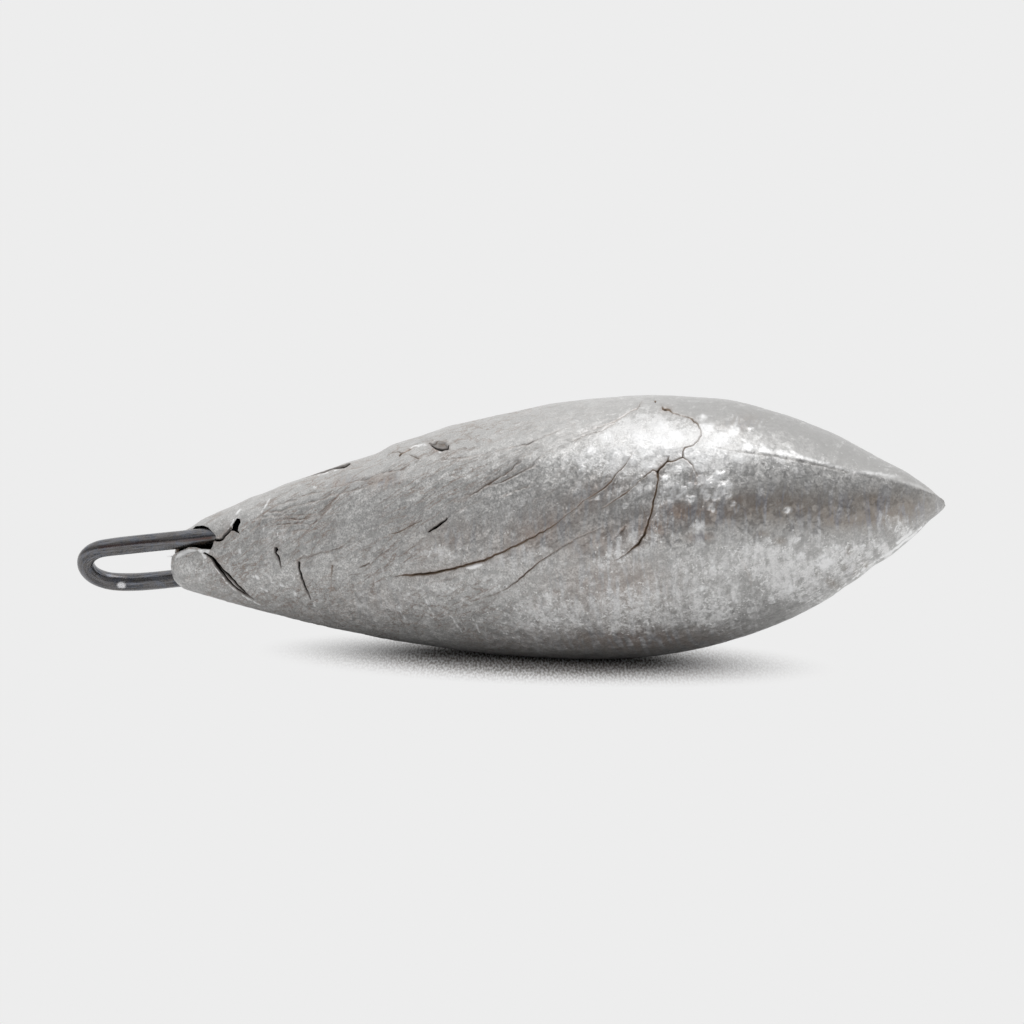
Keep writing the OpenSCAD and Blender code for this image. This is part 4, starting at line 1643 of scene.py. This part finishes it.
def seen_directly(tree):
    """1 where a ray comes straight from the camera or through glass"""
    path = tree.nodes.new("ShaderNodeLightPath")
    return calculate(tree, "MAXIMUM", path.outputs["Is Camera Ray"], path.outputs["Is Transmission Ray"])


def build_floor_material(studio):
    """A pale floor that keeps the object's shadow near it, darkened there by a painted shadow grain for the
    camera, and fades to a plain tone further out
    """
    material = new_material("pale_floor")
    tree = material.node_tree
    seen = seen_directly(tree)
    place = tree.nodes.new("ShaderNodeTexCoord").outputs["Object"]
    drawn_out = add_node(tree, "ShaderNodeMapping", {
        "Vector": place, "Rotation": (0, 0, studio.view_turn), "Scale": (1, 6, 1),
    }, vector_type="TEXTURE").outputs[0]
    fleck = add_noise(tree, drawn_out, 4600, 3)
    # Painted shadow: for the camera the paper near the object is darker and grained
    grained = blend_colour(tree, ramp(tree, fleck, 0.34, 0.66), PAINTED_SHADOW_GRAIN, (1, 1, 1))
    paper = add_node(tree, "ShaderNodeBsdfDiffuse", {"Color": blend_colour(tree, seen, FLOOR_PAPER, grained)})
    plain = add_node(tree, "ShaderNodeEmission", {"Color": (studio.pale, studio.pale, studio.pale, 1)})
    from_contact = add_node(tree, "ShaderNodeMapping", {
        "Vector": place, "Location": (*CONTACT_MIDDLE, 0), "Scale": (*CONTACT_REACH, 1),
    }, vector_type="TEXTURE").outputs[0]
    reach = add_node(tree, "ShaderNodeVectorMath", {0: from_contact}, operation="LENGTH").outputs["Value"]
    share = product(tree, ramp(tree, reach, 0.32, 0.9), seen)
    mixed = add_node(tree, "ShaderNodeMixShader", {0: share, 1: paper.outputs[0], 2: plain.outputs[0]})
    result = tree.nodes.new("ShaderNodeOutputMaterial")
    tree.links.new(mixed.outputs[0], result.inputs["Surface"])
    return material


def build_world(studio):
    """A pale background, with a room that is light behind and above the object and dim in front of it"""
    world = bpy.data.worlds.new("studio_room")
    world.use_nodes = True
    tree = world.node_tree
    tree.nodes.clear()
    direction = tree.nodes.new("ShaderNodeTexCoord").outputs["Generated"]
    parts = add_node(tree, "ShaderNodeSeparateXYZ", {0: direction}).outputs
    upwards_back = total(tree, product(tree, parts["Y"], 0.8), parts["Z"])
    room = blend_colour(tree, ramp(tree, upwards_back, -0.6, 1.0), ROOM_DIM, ROOM_LIGHT)
    colour = blend_colour(tree, seen_directly(tree), room, (studio.pale, studio.pale, studio.pale))
    background = add_node(tree, "ShaderNodeBackground", {"Color": colour, "Strength": 1})
    result = tree.nodes.new("ShaderNodeOutputWorld")
    tree.links.new(background.outputs[0], result.inputs["Surface"])
    bpy.context.scene.world = world


class SINKER_OT_studio(bpy.types.Operator):
    """Adds the camera, the pale floor, the overhead softbox and the room"""

    bl_idname = "sinker.studio"
    bl_label = "Studio"

    def execute(self, context):
        """Builds the stage"""
        studio = context.scene.sinker_studio
        back = Vector((
            math.sin(studio.view_turn) * math.cos(studio.view_height),
            -math.cos(studio.view_turn) * math.cos(studio.view_height),
            math.sin(studio.view_height),
        ))
        deselect_all()
        bpy.ops.object.camera_add(location=Vector(studio.view_target) + back * studio.view_distance)
        camera = context.object
        camera.rotation_euler = back.to_track_quat("Z", "Y").to_euler()
        camera.data.lens = studio.lens
        camera.data.clip_start = 10 * MM
        context.scene.camera = camera
        context.view_layer.update()
        bpy.ops.mesh.primitive_grid_add(x_subdivisions=8, y_subdivisions=8, size=studio.floor_side)
        floor = context.object
        floor.name = "floor"
        floor.data.materials.append(build_floor_material(studio))
        bpy.ops.object.light_add(
            type="AREA", location=tuple(studio.softbox_place), rotation=(studio.softbox_tilt, 0, 0),
        )
        softbox = context.object
        softbox.name = "softbox"
        softbox.data.size = studio.softbox
        softbox.data.energy = studio.softbox_power
        build_world(studio)
        context.scene.view_settings.view_transform = "Standard"
        return {"FINISHED"}


class SINKER_OT_casting(bpy.types.Operator):
    """Models the lead body: the blank, its relief, cracks and pits, and the hollows of the wire"""

    bl_idname = "sinker.casting"
    bl_label = "Lead casting"

    def execute(self, context):
        """Builds the lead body in place of the CAD node"""
        scene = context.scene
        casting, eye = scene.sinker_casting, scene.sinker_eye
        pose, view = casting_pose(casting), PhotoView()
        piece = add_casting_blank(casting)
        refine_blank(piece, casting, pose, view)
        shape_skin(piece, pose, view, scene.sinker_studio.view_distance / view.scale)
        open_eye_end(piece, casting, eye, pose, view)
        finish_piece(piece, "lead_finish", 45)
        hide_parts("lead_body")
        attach(piece, "root")
        return {"FINISHED"}


class SINKER_OT_wire(bpy.types.Operator):
    """Models the wire eye: one rod through both legs, with its lopsided bend and its hidden hooks"""

    bl_idname = "sinker.wire"
    bl_label = "Wire eye"

    def execute(self, context):
        """Builds the wire in place of the CAD node"""
        scene = context.scene
        casting, eye = scene.sinker_casting, scene.sinker_eye
        pose, view = casting_pose(casting), PhotoView()
        course = smooth_course(eye_course(casting, eye, pose, view), 0.15 * MM)
        piece = add_rod("wire_loop", course, wire_radii(course, eye, view), 48)
        places, normals = read_points(piece.data), read_normals(piece.data)
        pixels = view.pixels(places)
        line = [(*pixel, 0) for pixel in WIRE_LINE]
        from_line, _, _ = near_line(wavy(pixels, *RAGGED["wire_line"]), line)
        store_mask(piece.data, "rust", bell(from_line, 0.9))
        fleck = 1 - smooth(0.7, 1.1, near_spot(wavy(pixels, *RAGGED["fleck"]), *WIRE_FLECK))
        store_mask(piece.data, "fleck", fleck * (view.facing(places, normals) > 0))
        finish_piece(piece, "wire_finish", 50)
        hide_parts("wire_eye")
        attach(piece, "root")
        return {"FINISHED"}


class SINKER_OT_finishes(bpy.types.Operator):
    """Builds the finishes of the lead and the wire"""

    bl_idname = "sinker.finishes"
    bl_label = "Finishes"

    def execute(self, context):
        """Builds both materials from shared node groups"""
        colours = context.scene.sinker_colours
        mottle = build_mottle_group()
        build_lead_material(colours, mottle, build_facet_group())
        build_wire_material(colours, mottle)
        return {"FINISHED"}


class SINKER_PT_panel(bpy.types.Panel):
    """Lists the sinker's pieces in the sidebar"""

    bl_idname = "SINKER_PT_panel"
    bl_label = "Cast Lead Sinker"
    bl_space_type = "VIEW_3D"
    bl_region_type = "UI"
    bl_category = "Sinker"

    def draw(self, context):
        """Draws one button for each operator"""
        for operator in OPERATORS:
            self.layout.operator(operator.bl_idname)


SETTINGS = {
    "sinker_casting": CastingSizes,
    "sinker_eye": EyeSizes,
    "sinker_colours": FinishColours,
    "sinker_studio": StudioSizes,
}
OPERATORS = (SINKER_OT_studio, SINKER_OT_finishes, SINKER_OT_casting, SINKER_OT_wire)
CLASSES = (*SETTINGS.values(), *OPERATORS, SINKER_PT_panel)


def register():
    """Registers the classes and their settings on the scene"""
    for entry in CLASSES:
        bpy.utils.register_class(entry)
    for name, group in SETTINGS.items():
        setattr(bpy.types.Scene, name, bpy.props.PointerProperty(type=group))


def unregister():
    """Takes the settings and the classes away again"""
    for name in SETTINGS:
        delattr(bpy.types.Scene, name)
    for entry in reversed(CLASSES):
        bpy.utils.unregister_class(entry)


def main():
    """Builds the whole scene"""
    register()
    bpy.ops.sinker.studio()
    bpy.ops.sinker.finishes()
    bpy.ops.sinker.casting()
    bpy.ops.sinker.wire()


if __name__ == "__main__":
    main()
